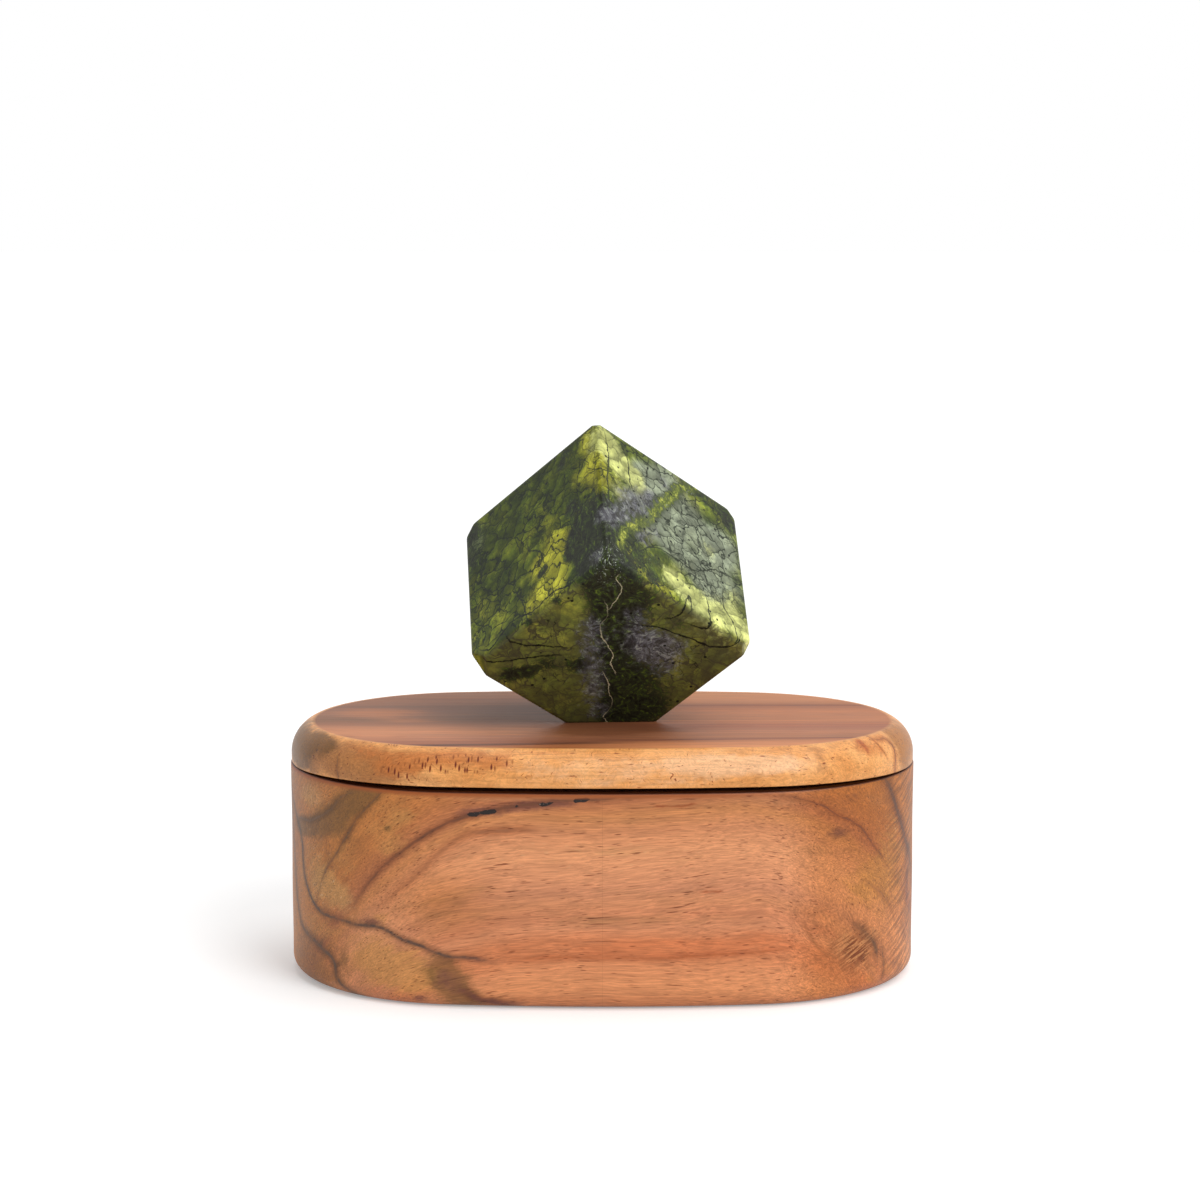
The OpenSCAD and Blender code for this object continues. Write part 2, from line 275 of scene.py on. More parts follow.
# Soft stains. Front and ends: olive, golden and red. Then pale, pinkish and grey-brown
paint(body, "stains", np.stack([
    soft_spots(along, z, [
        (-99, 45, 5, 3, 0.9), (-92, 46, 6, 3, 1), (-85, 48.5, 6, 4, 1), (-78, 52, 6, 4.5, 1),
        (-71, 56.5, 6, 4, 1), (-66, 60, 6, 3, 0.8), (-45, 11, 6, 5, 0.95), (-41, 5, 6, 6, 0.9),
        (-34, 2, 6, 3, 0.5), (65.5, 36, 3, 3, 0.35), (-60.5, 50, 1.6, 1.1, 0.9), (-110, 44, 6, 10, 0.5),
        (-73, 44, 6, 5, 0.4), (-84, 14, 5, 2.5, 0.4), (-76, 10, 4, 5, 0.6), (77, 12, 5, 4, 0.35)])
    + soft_spots(behind, z, [(62, 52, 16, 6, 0.8), (80, 44, 10, 8, 0.6), (-58, 6, 14, 5, 0.7)]),
    soft_spots(along, z, [
        (-62, 12, 14, 7, 1), (-52, 8, 8, 5, 0.8), (-100, 32, 5, 10, 0.4), (-88, 34, 9, 8, 0.5),
        (-88, 18, 10, 4, 0.7), (-76, 40, 7, 9, 0.45), (90, 34, 12, 16, 0.75), (76, 32, 8, 6, 0.6),
        (84, 5, 14, 4, 0.3), (-56, 54, 7, 4, 0.6), (-60, 46, 7, 5, 0.7), (-62.5, 24, 3, 2, 0.6)])
    + soft_spots(behind, z, [(-80, 34, 16, 18, 0.7), (84, 14, 10, 14, 0.7)]),
    soft_spots(along, z, [
        (-24, 14.5, 14, 3, 0.5), (4, 17.5, 22, 2.5, 0.8), (26, 18, 18, 3, 0.8), (48, 20, 14, 3, 0.5),
        (-54, 24, 12, 5, 0.35), (60, 26, 12, 5, 0.4), (-20, 5, 14, 3, 0.3), (30, 33.5, 6, 1.5, 0.5)])
    + soft_spots(behind, z, [(0, 18, 44, 3.5, 0.8)])], axis=1))
paint(body, "shades", np.stack([
    soft_spots(along, z, [
        (-84, 31, 7, 6, 0.8), (-76, 28, 5, 5, 0.8), (-92, 55, 8, 4, 0.9), (-90, 36, 6, 10, 0.5),
        (0, 44, 40, 4, 0.3), (92, 46, 8, 8, 0.3)]),
    soft_spots(along, z, [
        (-98, 56, 9, 5, 0.5), (-88, 55, 6, 4, 0.4), (-20, 60.2, 34, 1.6, 0.9), (44, 58.4, 14, 2, 0.7),
        (84, 56, 10, 4, 0.6), (106, 40, 8, 20, 0.6), (-108, 20, 8, 16, 0.5)]),
    soft_spots(along, z, [
        (10, 54, 40, 2, 0.4), (4, 33, 40, 2.5, 0.45), (10, 25.5, 40, 3.2, 0.6), (-50, 26, 12, 6, 0.3),
        (-92, 14, 12, 7, 0.5), (-84, 3, 14, 4, 0.6), (-95, 5, 10, 6, 1.2), (-42, 31, 14, 9, 0.3),
        (60, 44, 9, 5, 0.4), (106, 14, 8, 10, 0.4), (-106, 30, 6, 20, 0.5)])], axis=1))

# Purple-brown smudges along the veins, the places where the wood is dimmer, and where its fibres curl
paint(body, "smudges", np.stack([
    soft_spots(along, z, [
        (-33, 55.5, 8, 1.5, 0.9), (-22, 57.5, 8, 1.5, 0.9), (-12, 58.5, 7, 1.5, 0.7),
        (-66, 23, 4.5, 1.5, 1), (-84, 23.5, 5, 1, 0.5), (-36, 14.5, 4, 1, 0.7), (-29, 13.5, 5, 1, 0.4),
        (-51, 2.5, 2.5, 1.5, 0.9), (-43, 8, 5, 4, 0.7), (71, 57.5, 5, 2, 0.5), (67, 48, 4, 1.5, 1),
        (60, 50, 5, 1, 0.4), (102.5, 30, 2.5, 14, 0.6), (100, 14, 3, 5, 0.5), (-79, 7, 2, 4, 0.5)]),
    soft_spots(along, z, [
        (-45, 30, 14, 9, 0.9), (-86, 38, 10, 10, 0.6), (-106, 40, 6, 20, 0.9), (-84, 10, 12, 8, 1),
        (-92, 4, 10, 6, 1)])
    + smooth_step(48, 64, along) * smooth_step(170, 130, along),
    smooth_step(42, 60, along) + smooth_step(-66, -84, along)], axis=1))

# A knot low on the right, about 20 mm wide, where the fibres wave and climb to the right
knot_across = (along - knot_along) / knot_half_w
knot_up = (z - knot_z) / knot_half_h
paint(body, "knot", np.stack([along - knot_along, z - knot_z, np.hypot(knot_across, knot_up)], axis=1))

# Round the right end fine lines cross the grain, climbing to the right.
climb = 0.4 * along
at_end = smooth_step(82, 95, along) * smooth_step(135, 120, along)
paint(body, "cross_grain", np.stack([along, z - climb, at_end], axis=1))

# Painted shade in the joint between lid and body: the rim is darker, most of all at its edge. Below that,
# painted light in amber.
body_inset = np.repeat([inset for inset, _ in body_rings], columns)
at_rim = (z > rim_z - 0.5) & (body_inset > rim_ease + 0.4)
at_ease = smooth_step(rim_z - 0.5, rim_z - 0.05, z) * smooth_step(rim_ease + 1.5, rim_ease, body_inset)
paint(body, "joint_painted_shade", np.maximum(0.35 * at_rim, at_ease))
# Painted light: an amber band just under the eased edge, on the front and towards the left end, for the edge
# lit below the dark joint
near_rim = smooth_step(rim_z - 1.1, rim_z - 0.7, z) * outside
paint(body, "rim_painted_light", near_rim * smooth_step(60, 20, along) * smooth_step(-170, -130, along))
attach(body, "box")
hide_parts("box_body")


def linear(code):
    """Linear colour from an sRGB hex code."""
    parts = [int(code[i:i + 2], 16) / 255 for i in (1, 3, 5)]
    return [p / 12.92 if p <= 0.04045 else ((p + 0.055) / 1.055)**2.4 for p in parts] + [1]


def add(material, kind, feeds=None, stops=None, **settings):
    """Adds a node with its settings. feeds has a value or a source for an input, stops a ramp's colours."""
    node = material.node_tree.nodes.new("ShaderNode" + kind)
    for key, value in settings.items():
        setattr(node, key, value)
    for key, value in (feeds or {}).items():
        source = value.outputs[0] if isinstance(value, bpy.types.Node) else value
        if isinstance(source, bpy.types.NodeSocket):
            material.node_tree.links.new(source, node.inputs[key])
        else:
            node.inputs[key].default_value = source
    for number, (place, code) in enumerate(stops or []):
        ramp = node.color_ramp.elements
        stop = ramp[number] if number < 2 else ramp.new(place)
        stop.position = place
        stop.color = linear(code)
    return node


def material_on(piece, name):
    """New material with nothing in it, as the piece's only one."""
    made = bpy.data.materials.new(name)
    made.use_nodes = True
    made.node_tree.nodes.clear()
    piece.data.materials.clear()
    piece.data.materials.append(made)
    return made


smooth = {"interpolation_type": "SMOOTHSTEP"}


def painted(material, name):
    """The three numbers that paint kept under a name, apart from each other."""
    kept = add(material, "Attribute", attribute_name=name)
    return add(material, "SeparateXYZ", {"Vector": kept.outputs["Vector"]}).outputs


def shaded(material, colour, noise, darkest, lightest, low=0.3, high=0.7, share=1):
    """Multiplies the colour by a tone from darkest to lightest as a noise goes from low to high."""
    tone = add(material, "MapRange", {0: noise, 1: low, 2: high, 3: darkest, 4: lightest}, **smooth)
    return add(material, "MixRGB", {0: share, 1: colour, 2: tone}, blend_type="MULTIPLY")


def stretched(material, place, sizes, detail=3.0, roughness=0.6):
    """Noise whose blots are about as long, deep and high as sizes, in millimetres."""
    at = add(material, "Mapping", {"Vector": place, "Scale": [1 / size for size in sizes]})
    return add(material, "TexNoise", {"Vector": at, "Scale": 1, "Detail": detail, "Roughness": roughness})


def twisted(material, place, scale):
    """The place, moved about by a noise up to 16 mm, so that fibres laid along it curl."""
    twist = add(material, "TexNoise", {"Vector": place, "Scale": scale, "Detail": 2}).outputs["Color"]
    return add(material, "VectorMath", {0: twist, 1: (16,) * 3, 2: place}, operation="MULTIPLY_ADD")


def stained(material, colour, tone, weight, broken, share):
    """Lays a tone over the colour where the painted weight is, its edge made ragged by the broken noise."""
    ragged = add(material, "Math", {0: broken, 1: 1.5, 2: weight}, operation="MULTIPLY_ADD")
    cover = add(material, "MapRange", {0: ragged, 1: 0.95, 2: 1.65, 4: share}, **smooth)
    return add(material, "MixRGB", {0: cover, 1: colour, 2: linear(tone)})


def pores(material, place, sizes, share, **settings):
    """Weight of open pores, one to a cell of these sizes, in a share of the cells, some of them faint."""
    at = add(material, "Mapping", {"Vector": place, "Scale": [1 / size for size in sizes]})
    cells = add(material, "TexVoronoi", {"Vector": at, "Scale": 1}, **settings)
    kind = add(material, "SeparateXYZ", {"Vector": cells.outputs["Color"]})
    there = add(material, "MapRange", {0: kind.outputs[0], 1: 1 - share, 2: 1.3 - share})
    heart = add(material, "MapRange", {0: cells.outputs["Distance"], 1: 0.3, 2: 0.1}, **smooth)
    return add(material, "Math", {0: there, 1: heart}, operation="MULTIPLY")


def followed(material, name, noise, wobble):
    """Distance from a traced line that wobbles by so many millimetres, and the line's strength there."""
    drawn = painted(material, name)
    sway = add(material, "Math", {0: noise, 1: 2 * wobble, 2: -wobble}, operation="MULTIPLY_ADD")
    offset = add(material, "Math", {0: drawn[0], 1: sway}, operation="ADD")
    return add(material, "Math", {0: offset}, operation="ABSOLUTE"), drawn[1]


def growth_line(material, colour, ragged, name, tone, width, soft_tone, soft_width):
    """Draws a traced line over the colour: a soft stain along it, then its fine, uneven dark heart."""
    gap, strength = followed(material, name, ragged, 0.7)
    stain = add(material, "MapRange", {0: gap, 1: 0, 2: soft_width, 3: 0.85, 4: 0}, **smooth)
    stain = add(material, "Math", {0: stain, 1: strength}, operation="MULTIPLY")
    colour = add(material, "MixRGB", {0: stain, 1: colour, 2: linear(soft_tone)}, blend_type="MULTIPLY")
    uneven = add(material, "MapRange", {0: ragged, 1: 0.3, 2: 0.7, 3: 1.1, 4: 0.3}, **smooth)
    heart = add(material, "MapRange", {0: gap, 1: width * 0.1, 2: width, 3: 1, 4: 0}, **smooth)
    heart = add(material, "Math", {0: heart, 1: strength}, operation="MULTIPLY")
    heart = add(material, "Math", {0: heart, 1: uneven}, operation="MULTIPLY", use_clamp=True)
    return add(material, "MixRGB", {0: heart, 1: colour, 2: linear(tone)})


def wood_surface(material, colour, rough, relief, strength):
    """The wood's surface, from its colour, its roughness and the relief of its pores and fibres."""
    bump = add(material, "Bump", {"Height": relief, "Strength": strength, "Distance": 0.0002})
    surface = add(material, "BsdfPrincipled", {"Base Color": colour, "Roughness": rough, "IOR": 1.5,
                                               "Specular IOR Level": 0.3, "Normal": bump})
    add(material, "OutputMaterial", {"Surface": surface})


# Oiled hardwood, cut along the grain: level bands, long darker streaks and open pores that hold the oil.
# Pores are about 0.3 mm wide and 2 to 10 mm long. The satin oil finish gives a soft, broad highlight.
wood = material_on(body, "oiled_hardwood")
figure = add(wood, "Attribute", attribute_name="figure").outputs["Vector"]
fibre = add(wood, "Attribute", attribute_name="fibre").outputs["Vector"]
stains = painted(wood, "stains")
shades = painted(wood, "shades")
smudges = painted(wood, "smudges")
sway = add(wood, "TexNoise", {"Vector": figure, "Scale": 0.025, "Detail": 2})
sway = add(wood, "VectorMath", {0: sway.outputs["Color"], 1: (0.5, 0.5, 0.5)}, operation="SUBTRACT")
flow = add(wood, "VectorMath", {0: sway, 1: (6, 6, 6), 2: figure}, operation="MULTIPLY_ADD")
grain_at = add(wood, "VectorMath", {0: sway, 1: (4, 4, 4), 2: fibre}, operation="MULTIPLY_ADD")
curl = add(wood, "TexNoise", {"Vector": fibre, "Scale": 0.14, "Detail": 3})
curl = add(wood, "VectorMath", {0: curl.outputs["Color"], 1: (0.5, 0.5, 0.5)}, operation="SUBTRACT")
curl_size = add(wood, "MapRange", {0: smudges[2], 3: 0.4, 4: 2.8})
curl = add(wood, "VectorMath", {0: curl, "Scale": curl_size}, operation="SCALE")
grain_at = add(wood, "VectorMath", {0: grain_at, 1: curl}, operation="ADD")
level = add(wood, "SeparateXYZ", {"Vector": flow}).outputs[2]
level = add(wood, "MapRange", {0: level, 1: 0, 2: 150})
colour = add(wood, "ValToRGB", {"Fac": level}, stops=[
    (0.0, "#BE7A50"), (1.0, "#9C6A40"), (0.05, "#D68E5E"), (0.08, "#D38A5C"), (0.1, "#CB7F52"),
    (0.13, "#CE7F52"), (0.155, "#CD875E"), (0.175, "#C98159"), (0.2, "#CD885D"), (0.225, "#C8855F"),
    (0.25, "#D69065"), (0.3, "#DB9567"), (0.34, "#CB865A"), (0.37, "#C5814E"), (0.395, "#B06C44"),
    (0.45, "#B8723C"), (0.55, "#BC783A"), (0.7, "#B6743C")])
broken = stretched(wood, grain_at, (16, 6, 3), 7, 0.7)
ragged_stain = stretched(wood, grain_at, (5, 3, 2.5), 8, 0.78)
colour = stained(wood, colour, "#C58B4C", stains[1], broken, 0.75)
colour = stained(wood, colour, "#C0683A", stains[2], broken, 0.45)
colour = stained(wood, colour, "#CC9C60", shades[0], broken, 0.6)
colour = stained(wood, colour, "#B87C50", shades[1], broken, 0.55)
colour = stained(wood, colour, "#A07046", shades[2], broken, 0.6)
colour = stained(wood, colour, "#664A22", stains[0], ragged_stain, 0.7)
colour = stained(wood, colour, "#6E4038", smudges[0], ragged_stain, 0.7)
dim = add(wood, "MixRGB", {0: smudges[1], 1: linear("#FFFFFF"), 2: linear("#EBDEC1")})
colour = add(wood, "MixRGB", {0: 1, 1: colour, 2: dim}, blend_type="MULTIPLY")
streaks = stretched(wood, grain_at, (45, 2.6, 2.6), 4)
fibres = stretched(wood, grain_at, (16, 0.5, 0.5), 5, 0.65)
fine = stretched(wood, grain_at, (6, 0.3, 0.3), 2)
for noise, darkest, lightest in ((streaks, 0.91, 1.08), (fibres, 0.83, 1.15), (fine, 0.88, 1.12)):
    colour = shaded(wood, colour, noise, darkest, lightest)

# Curled fibres at both ends, pale flecks in the left end's light wood, lines across the right end's grain
curls = stretched(wood, twisted(wood, fibre, 0.12), (5, 0.6, 0.6))
colour = shaded(wood, colour, curls, 0.82, 1.12, 0.38, 0.62, smudges[2])
flecks = pores(wood, grain_at, (3, 1.4, 1.4), 0.6)
flecks = add(wood, "Math", {0: flecks, 1: shades[0]}, operation="MULTIPLY")
colour = add(wood, "MixRGB", {0: flecks, 1: colour, 2: linear("#D6AC7C")})
cross = add(wood, "Attribute", attribute_name="cross_grain").outputs["Vector"]
cross_fibres = stretched(wood, cross, (10, 1, 400), 4, 0.6)
colour = shaded(wood, colour, cross_fibres, 0.62, 1.2, 0.4, 0.6, painted(wood, "cross_grain")[2])
ragged = stretched(wood, fibre, (4, 4, 4), 4, 0.55)
line_kinds = {
    "inner_line": ("#99603E", 0.9, "#D8C4B4", 2.4),
    "bark_line": ("#6A402A", 0.6, "#B8A89E", 2),
    "red_line": ("#A85A30", 0.5, "#D8B8A0", 2),
    "shoulder_line": ("#6B4A30", 0.45, "#C4BCB0", 1.6),
    "olive_rim": ("#6E5038", 0.5, "#C4BAA8", 1.8),
    "low_smear": ("#6E4038", 1.4, "#A89088", 3),
    "right_line": ("#6E4028", 0.42, "#D8C8B4", 1.4),
    "low_arc": ("#96623A", 0.4, "#D8CCC0", 1.5),
    "knot_arc": ("#5E3E2A", 0.9, "#A8988A", 2.6),
    "outer_arc": ("#7A5436", 0.5, "#C8BCAC", 1.8),
    "whorl_left": ("#9A6238", 0.35, "#D8CCC0", 1.2),
    "back_arc": ("#6A402A", 0.6, "#B8A89E", 2.4),
    "end_vein": ("#463A35", 0.7, "#A3A3A0", 2.2),
    "foot_vein": ("#54443A", 0.9, "#9C9A8C", 3),
    "right_vein": ("#54392C", 1.1, "#A08C80", 4),
    "back_vein": ("#463A35", 0.8, "#A3A3A0", 2.6),
    "back_foot_vein": ("#54443A", 0.9, "#9C9A8C", 3),
    "red_dashes": ("#8A4526", 0.3, "#E4C8B4", 0.7),
    "low_dashes": ("#8A4526", 0.3, "#E4C8B4", 0.7),
}
for name, (tone, width, soft_tone, soft_width) in line_kinds.items():
    colour = growth_line(wood, colour, ragged, name, tone, width, soft_tone, soft_width)

# The knot: wavy dark and light fibres that thin out towards its rim
knot = painted(wood, "knot")
knot_noise = stretched(wood, fibre, (6, 6, 4), 4, 0.6)
knot_edge = add(wood, "Math", {0: knot_noise, 1: 1.4, 2: knot[2]}, operation="MULTIPLY_ADD")
knot_here = add(wood, "MapRange", {0: knot_edge, 1: 1.75, 2: 0.9}, **smooth)
knot_base = add(wood, "Math", {0: knot_here, 1: 0.5}, operation="MULTIPLY")
colour = add(wood, "MixRGB", {0: knot_base, 1: colour, 2: linear("#B8834E")})
knot_waves = stretched(wood, cross, (6, 0.75, 400), 2, 0.5)
knot_dark = add(wood, "MapRange", {0: knot_waves, 1: 0.42, 2: 0.54}, **smooth)
knot_dark = add(wood, "Math", {0: knot_dark, 1: knot_here}, operation="MULTIPLY")
colour = add(wood, "MixRGB", {0: knot_dark, 1: colour, 2: linear("#A67E5A")}, blend_type="MULTIPLY")

# Open pores, and the row of bark left in under the rim, black with pale glints that are painted highlights
small_pores = pores(wood, grain_at, (5, 0.6, 0.6), 0.6)
large_pores = pores(wood, grain_at, (10, 0.7, 0.7), 0.3)
long_pores = pores(wood, grain_at, (26, 0.8, 0.8), 0.45)
pore = add(wood, "Math", {0: small_pores, 1: large_pores}, operation="MAXIMUM")
pore = add(wood, "Math", {0: pore, 1: long_pores}, operation="MAXIMUM")
grouped = add(wood, "MapRange", {0: broken, 1: 0.35, 2: 0.65, 3: 0.35, 4: 1}, **smooth)
pore_share = add(wood, "Math", {0: pore, 1: grouped}, operation="MULTIPLY")
colour = add(wood, "MixRGB", {0: pore_share, 1: colour, 2: linear("#8C6858")}, blend_type="MULTIPLY")
bark = painted(wood, "bark")
bark_gap = add(wood, "Math", {0: bark[0]}, operation="ABSOLUTE")
lumps = stretched(wood, fibre, (2.4, 2.4, 1.2), 2)
bark_gap = add(wood, "Math", {0: lumps, 1: -0.7, 2: bark_gap}, operation="MULTIPLY_ADD")
bark_edge = add(wood, "Math", {0: bark[1], 1: 1.3, 2: -0.95}, operation="MULTIPLY_ADD")
bark_depth = add(wood, "Math", {0: bark_edge, 1: bark_gap}, operation="SUBTRACT")
bark_here = add(wood, "MapRange", {0: bark_depth, 1: 0, 2: 0.25}, **smooth)
# Painted highlights: pale glints in the black bark
glint = stretched(wood, fibre, (0.9, 0.5, 0.5), 2)
glint = add(wood, "MapRange", {0: glint, 1: 0.64, 2: 0.72}, **smooth)
bark_tone = add(wood, "MixRGB", {0: glint, 1: linear("#1E1310"), 2: linear("#8A7668")})
colour = add(wood, "MixRGB", {0: bark_here, 1: colour, 2: bark_tone})
# Painted light: the amber band under the rim's eased edge
edge = add(wood, "Attribute", attribute_name="rim_painted_light").outputs["Fac"]
colour = add(wood, "MixRGB", {0: edge, 1: colour, 2: linear("#9A5224")})
# Painted shade: the rim and its outer edge darkened, as in the joint's shade
joint = add(wood, "Attribute", attribute_name="joint_painted_shade").outputs["Fac"]
colour = add(wood, "MixRGB", {0: joint, 1: colour, 2: linear("#5A3C28")}, blend_type="MULTIPLY")
rough = add(wood, "MapRange", {0: fibres, 1: 0.3, 2: 0.7, 3: 0.4, 4: 0.52}, **smooth)
relief = add(wood, "Math", {0: pore, 1: -0.7, 2: fibres}, operation="MULTIPLY_ADD")
wood_surface(wood, colour, rough, relief, 0.3)


# Lid
# A slab of the same hardwood on the same oval, its upper edge rounded over, with a soft crease at the top.
# Between two seats at its ends the underside is cut away in a long arch, which shows as a dark gap.

lid_z = rim_z
lid_top = 1000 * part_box("lid")[1].z
lid_inset = 0.3
lid_round = 9.5
lid_brow = 0.75
lid_ease = 0.5
lid_bow = 1.3
seat_l = 3
plug_inset = 11.48
under_reach = 30
top_reach = 50
shaded_rows = 8
bow_half = half_w - lid_inset - seat_l
brow_share = 1 - np.arccos((lid_round - lid_brow) / lid_round) / (np.pi / 2)


def lid_arch(x, inset):
    """How far the lid's underside is cut away, outside the glued plug."""
    if inset > plug_inset - 0.001:
        return 0 * x
    return lid_bow * np.clip(1 - (x / bow_half)**6, 0, 1)


lid_rings = [(under_reach, lid_z), (plug_inset, lid_z), (plug_inset - 0.01, lid_z)]
lid_rings += between((plug_inset - 0.01, lid_z), (lid_inset + lid_ease, lid_z), 3)
lid_rings += rounded(lid_ease, lid_inset + lid_ease, lid_z + lid_ease, 0, 4)
lid_side_top = lid_top + lid_brow - lid_round
lid_rings += between((lid_inset, lid_z + lid_ease), (lid_inset, lid_side_top), 3)
under_rows = len(lid_rings)
lid_rings += rounded(lid_round, lid_inset + lid_round, lid_side_top, 1, 20, brow_share)
side_rows = len(lid_rings)
lid_rings += between(lid_rings[-1], (top_reach, lid_top), 34)
lid_points, lid_faces = sweep(lid_rings)
for row, (inset, z_ring) in enumerate(lid_rings[:under_rows]):
    rows = slice(row * columns, (row + 1) * columns)
    share = np.clip((lid_side_top - z_ring) / (lid_side_top - lid_z), 0, 1)
    lid_points[rows, 2] += share * lid_arch(lid_points[rows, 0], inset)
lid = built("oiled_lid", lid_points, lid_faces, 60)

# Girth is the way up the side and over the round, from the lid's lower edge.
lid_x, lid_y = lid_points[:, :2].T
lid_along = np.tile(around, len(lid_rings))
steps = [np.hypot(*np.subtract(b, a)) for a, b in zip(lid_rings, lid_rings[1:])]
girth = np.concatenate([[0], np.cumsum(steps)])
girth -= girth[lid_rings.index((lid_inset + lid_ease, lid_z))]
girth = np.repeat(girth, columns)
lid_row = np.repeat(np.arange(len(lid_rings)), columns)
paint(lid, "figure", lid_points)
paint(lid, "place", np.stack([lid_along, girth, 0 * girth], axis=1))
paint(lid, "top_share", 1.0 * (lid_row >= side_rows))
# Painted shade on the lid's underside and the foot of its lower ease, to darken the gap
paint(lid, "lid_under_painted_shade", 1.0 * (lid_row < shaded_rows))
lid_lines = {
    "end_line": [(84, 20, 0.4), (86.5, 12.5, 0.7), (89, 11.5, 1), (92, 11.5, 1), (93, 10, 1),
                 (93.5, 7.5, 1), (92.5, 5, 0.9), (92, 1, 0.8), (92, -3, 0.6)],
    "thin_end_line": [(85.5, 13, 0), (86, 12, 0.8), (86.5, 10, 1), (87.5, 7, 0.7), (88, 5.5, 0.4),
                      (88, 4, 0)],
    "red_mark": [(79, 14, 0), (79.5, 13, 0.8), (80, 10.5, 1), (80, 8.5, 0.6), (80, 7, 0)],
    "left_line": [(-79.5, 8, 0), (-78.5, 6, 0.7), (-78, 3.5, 0.8), (-77.5, 0.5, 0.8), (-77.5, -2, 0.5)],
}
for name, line in lid_lines.items():
    trace(lid, name, lid_along, girth, line)

# Soft stains on the rounded edge: olive, a painted highlight in pale gold, and red. Then brown, tan and
# upright strokes
paint(lid, "stains", np.stack([
    soft_spots(lid_along, girth, [
        (-106, 8, 9, 5, 1), (-95, 8.5, 6, 4.5, 1), (-88, 11, 6, 3, 0.9), (-98, 2.5, 7, 2.5, 0.8),
        (-84, 8, 5, 4, 0.4), (-116, 8, 12, 8, 0.8), (88, 13, 3, 2, 0.3), (62, 11, 3, 2, 0.3)]),
    soft_spots(lid_along, girth, [
        (28, 8, 22, 3.5, 1), (48, 8, 16, 3, 0.7), (-12, 8, 18, 3, 0.6), (0, 3, 26, 3, 0.4)]),
    soft_spots(lid_along, girth, [
        (-55, 8, 7, 3, 0.9), (-42, 10, 9, 3, 1), (-30, 9, 7, 3, 0.8), (-60, 5, 8, 3, 0.6),
        (-68, 11, 8, 3, 0.7), (79, 11, 5, 3, 0.7), (86, 9, 4, 4, 0.5),
        (-12, 12.5, 20, 1.6, 0.5)])], axis=1))
paint(lid, "shades", np.stack([
    soft_spots(lid_along, girth, [
        (-78, 7, 14, 6, 1), (-66, 3, 10, 4, 0.8), (-92, 4, 8, 6, 0.5), (-60, 9, 12, 6, 0.6),
        (-45, 3, 8, 3, 0.4), (62, 8, 2.5, 4, 0.7), (70, 12, 10, 2, 0.5)]),
    soft_spots(lid_along, girth, [(100, 8, 6, 10, 1), (112, 8, 10, 10, 1)]),
    soft_spots(lid_along, girth, [(-38, 8.5, 15, 3, 1.2), (-56, 5, 9, 2, 1)])], axis=1))

# The top's stripes run a little askew at the front. Its left half is greyer and darker than its right:
# partly the wood's grey-brown stripes, partly painted shade where the stone's shadow falls.
askew = 0.08 * lid_x * smooth_step(-15, -28, lid_y)
paint(lid, "stripe_at", np.stack([lid_x, lid_y - askew, smooth_step(16, -14, lid_x)], axis=1))
# Painted shadow of the stone on the lid's top: under it, in front of its foot and along the front; also a
# darker patch at the left front
paint(lid, "stone_painted_shadow", soft_spots(lid_x, lid_y, [
    (2, -20, 22, 9, 1), (0, -33, 18, 4, 0.5), (-2, 0, 24, 16, 1), (-74, -32, 8, 8, 0.7)]))
paint(lid, "warm_stripe", soft_spots(lid_x, lid_y, [
    (-66, 8, 14, 8, 1), (-56, -4, 10, 4, 0.6), (-60, 40, 20, 10, 0.3)]))
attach(lid, "lid")
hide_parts("lid")

# The lid's top is cut along the grain and shows straight pinkish and grey-brown stripes. Its rounded edge
# cuts across the fibres, so it is a brighter gold with short pores that point every way.
top = material_on(lid, "oiled_hardwood_lid")
figure = add(top, "Attribute", attribute_name="figure").outputs["Vector"]
place = add(top, "Attribute", attribute_name="place").outputs["Vector"]
on_top = add(top, "Attribute", attribute_name="top_share").outputs["Fac"]
stripe_at = add(top, "Attribute", attribute_name="stripe_at").outputs["Vector"]
stains = painted(top, "stains")
shades = painted(top, "shades")
sway = add(top, "TexNoise", {"Vector": figure, "Scale": 0.02, "Detail": 2})
sway = add(top, "VectorMath", {0: sway.outputs["Color"], 1: (0.5, 0.5, 0.5)}, operation="SUBTRACT")
grain_at = add(top, "VectorMath", {0: sway, 1: (4, 4, 4), 2: figure}, operation="MULTIPLY_ADD")
long_streaks = stretched(top, grain_at, (150, 2.4, 2.4), 5, 0.62)
parts = add(top, "SeparateXYZ", {"Vector": stripe_at})
stripe_y = add(top, "Math", {0: long_streaks, 1: 5, 2: parts.outputs[1]}, operation="MULTIPLY_ADD")
stripe_y = add(top, "MapRange", {0: stripe_y, 1: -47.5, 2: 52.5})
# The left half's darker colours are partly painted shade from the stone's shadow
left_half = add(top, "ValToRGB", {"Fac": stripe_y}, stops=[
    (0.0, "#A05C30"), (1.0, "#98684C"), (0.085, "#A8643A"), (0.105, "#502E20"), (0.13, "#955A3E"),
    (0.18, "#A86A4A"), (0.25, "#BC7B56"), (0.31, "#C17F57"), (0.36, "#A96F4E"), (0.41, "#8C5C42"),
    (0.47, "#80563C"), (0.55, "#8C6048"), (0.62, "#8A5E48"), (0.69, "#7C543F"), (0.76, "#8C5E46"),
    (0.84, "#926045")])
right_half = add(top, "ValToRGB", {"Fac": stripe_y}, stops=[
    (0.0, "#D38A59"), (1.0, "#B67A50"), (0.08, "#C88054"), (0.12, "#AC6C48"), (0.135, "#824E38"),
    (0.155, "#A26848"), (0.25, "#B07250"), (0.32, "#A86C4E"), (0.37, "#A26246"), (0.47, "#B4724C"),
    (0.55, "#B6744E"), (0.63, "#B4714A"), (0.7, "#A26444"), (0.725, "#7E4830"), (0.745, "#AA6C48"),
    (0.84, "#BC7C54")])
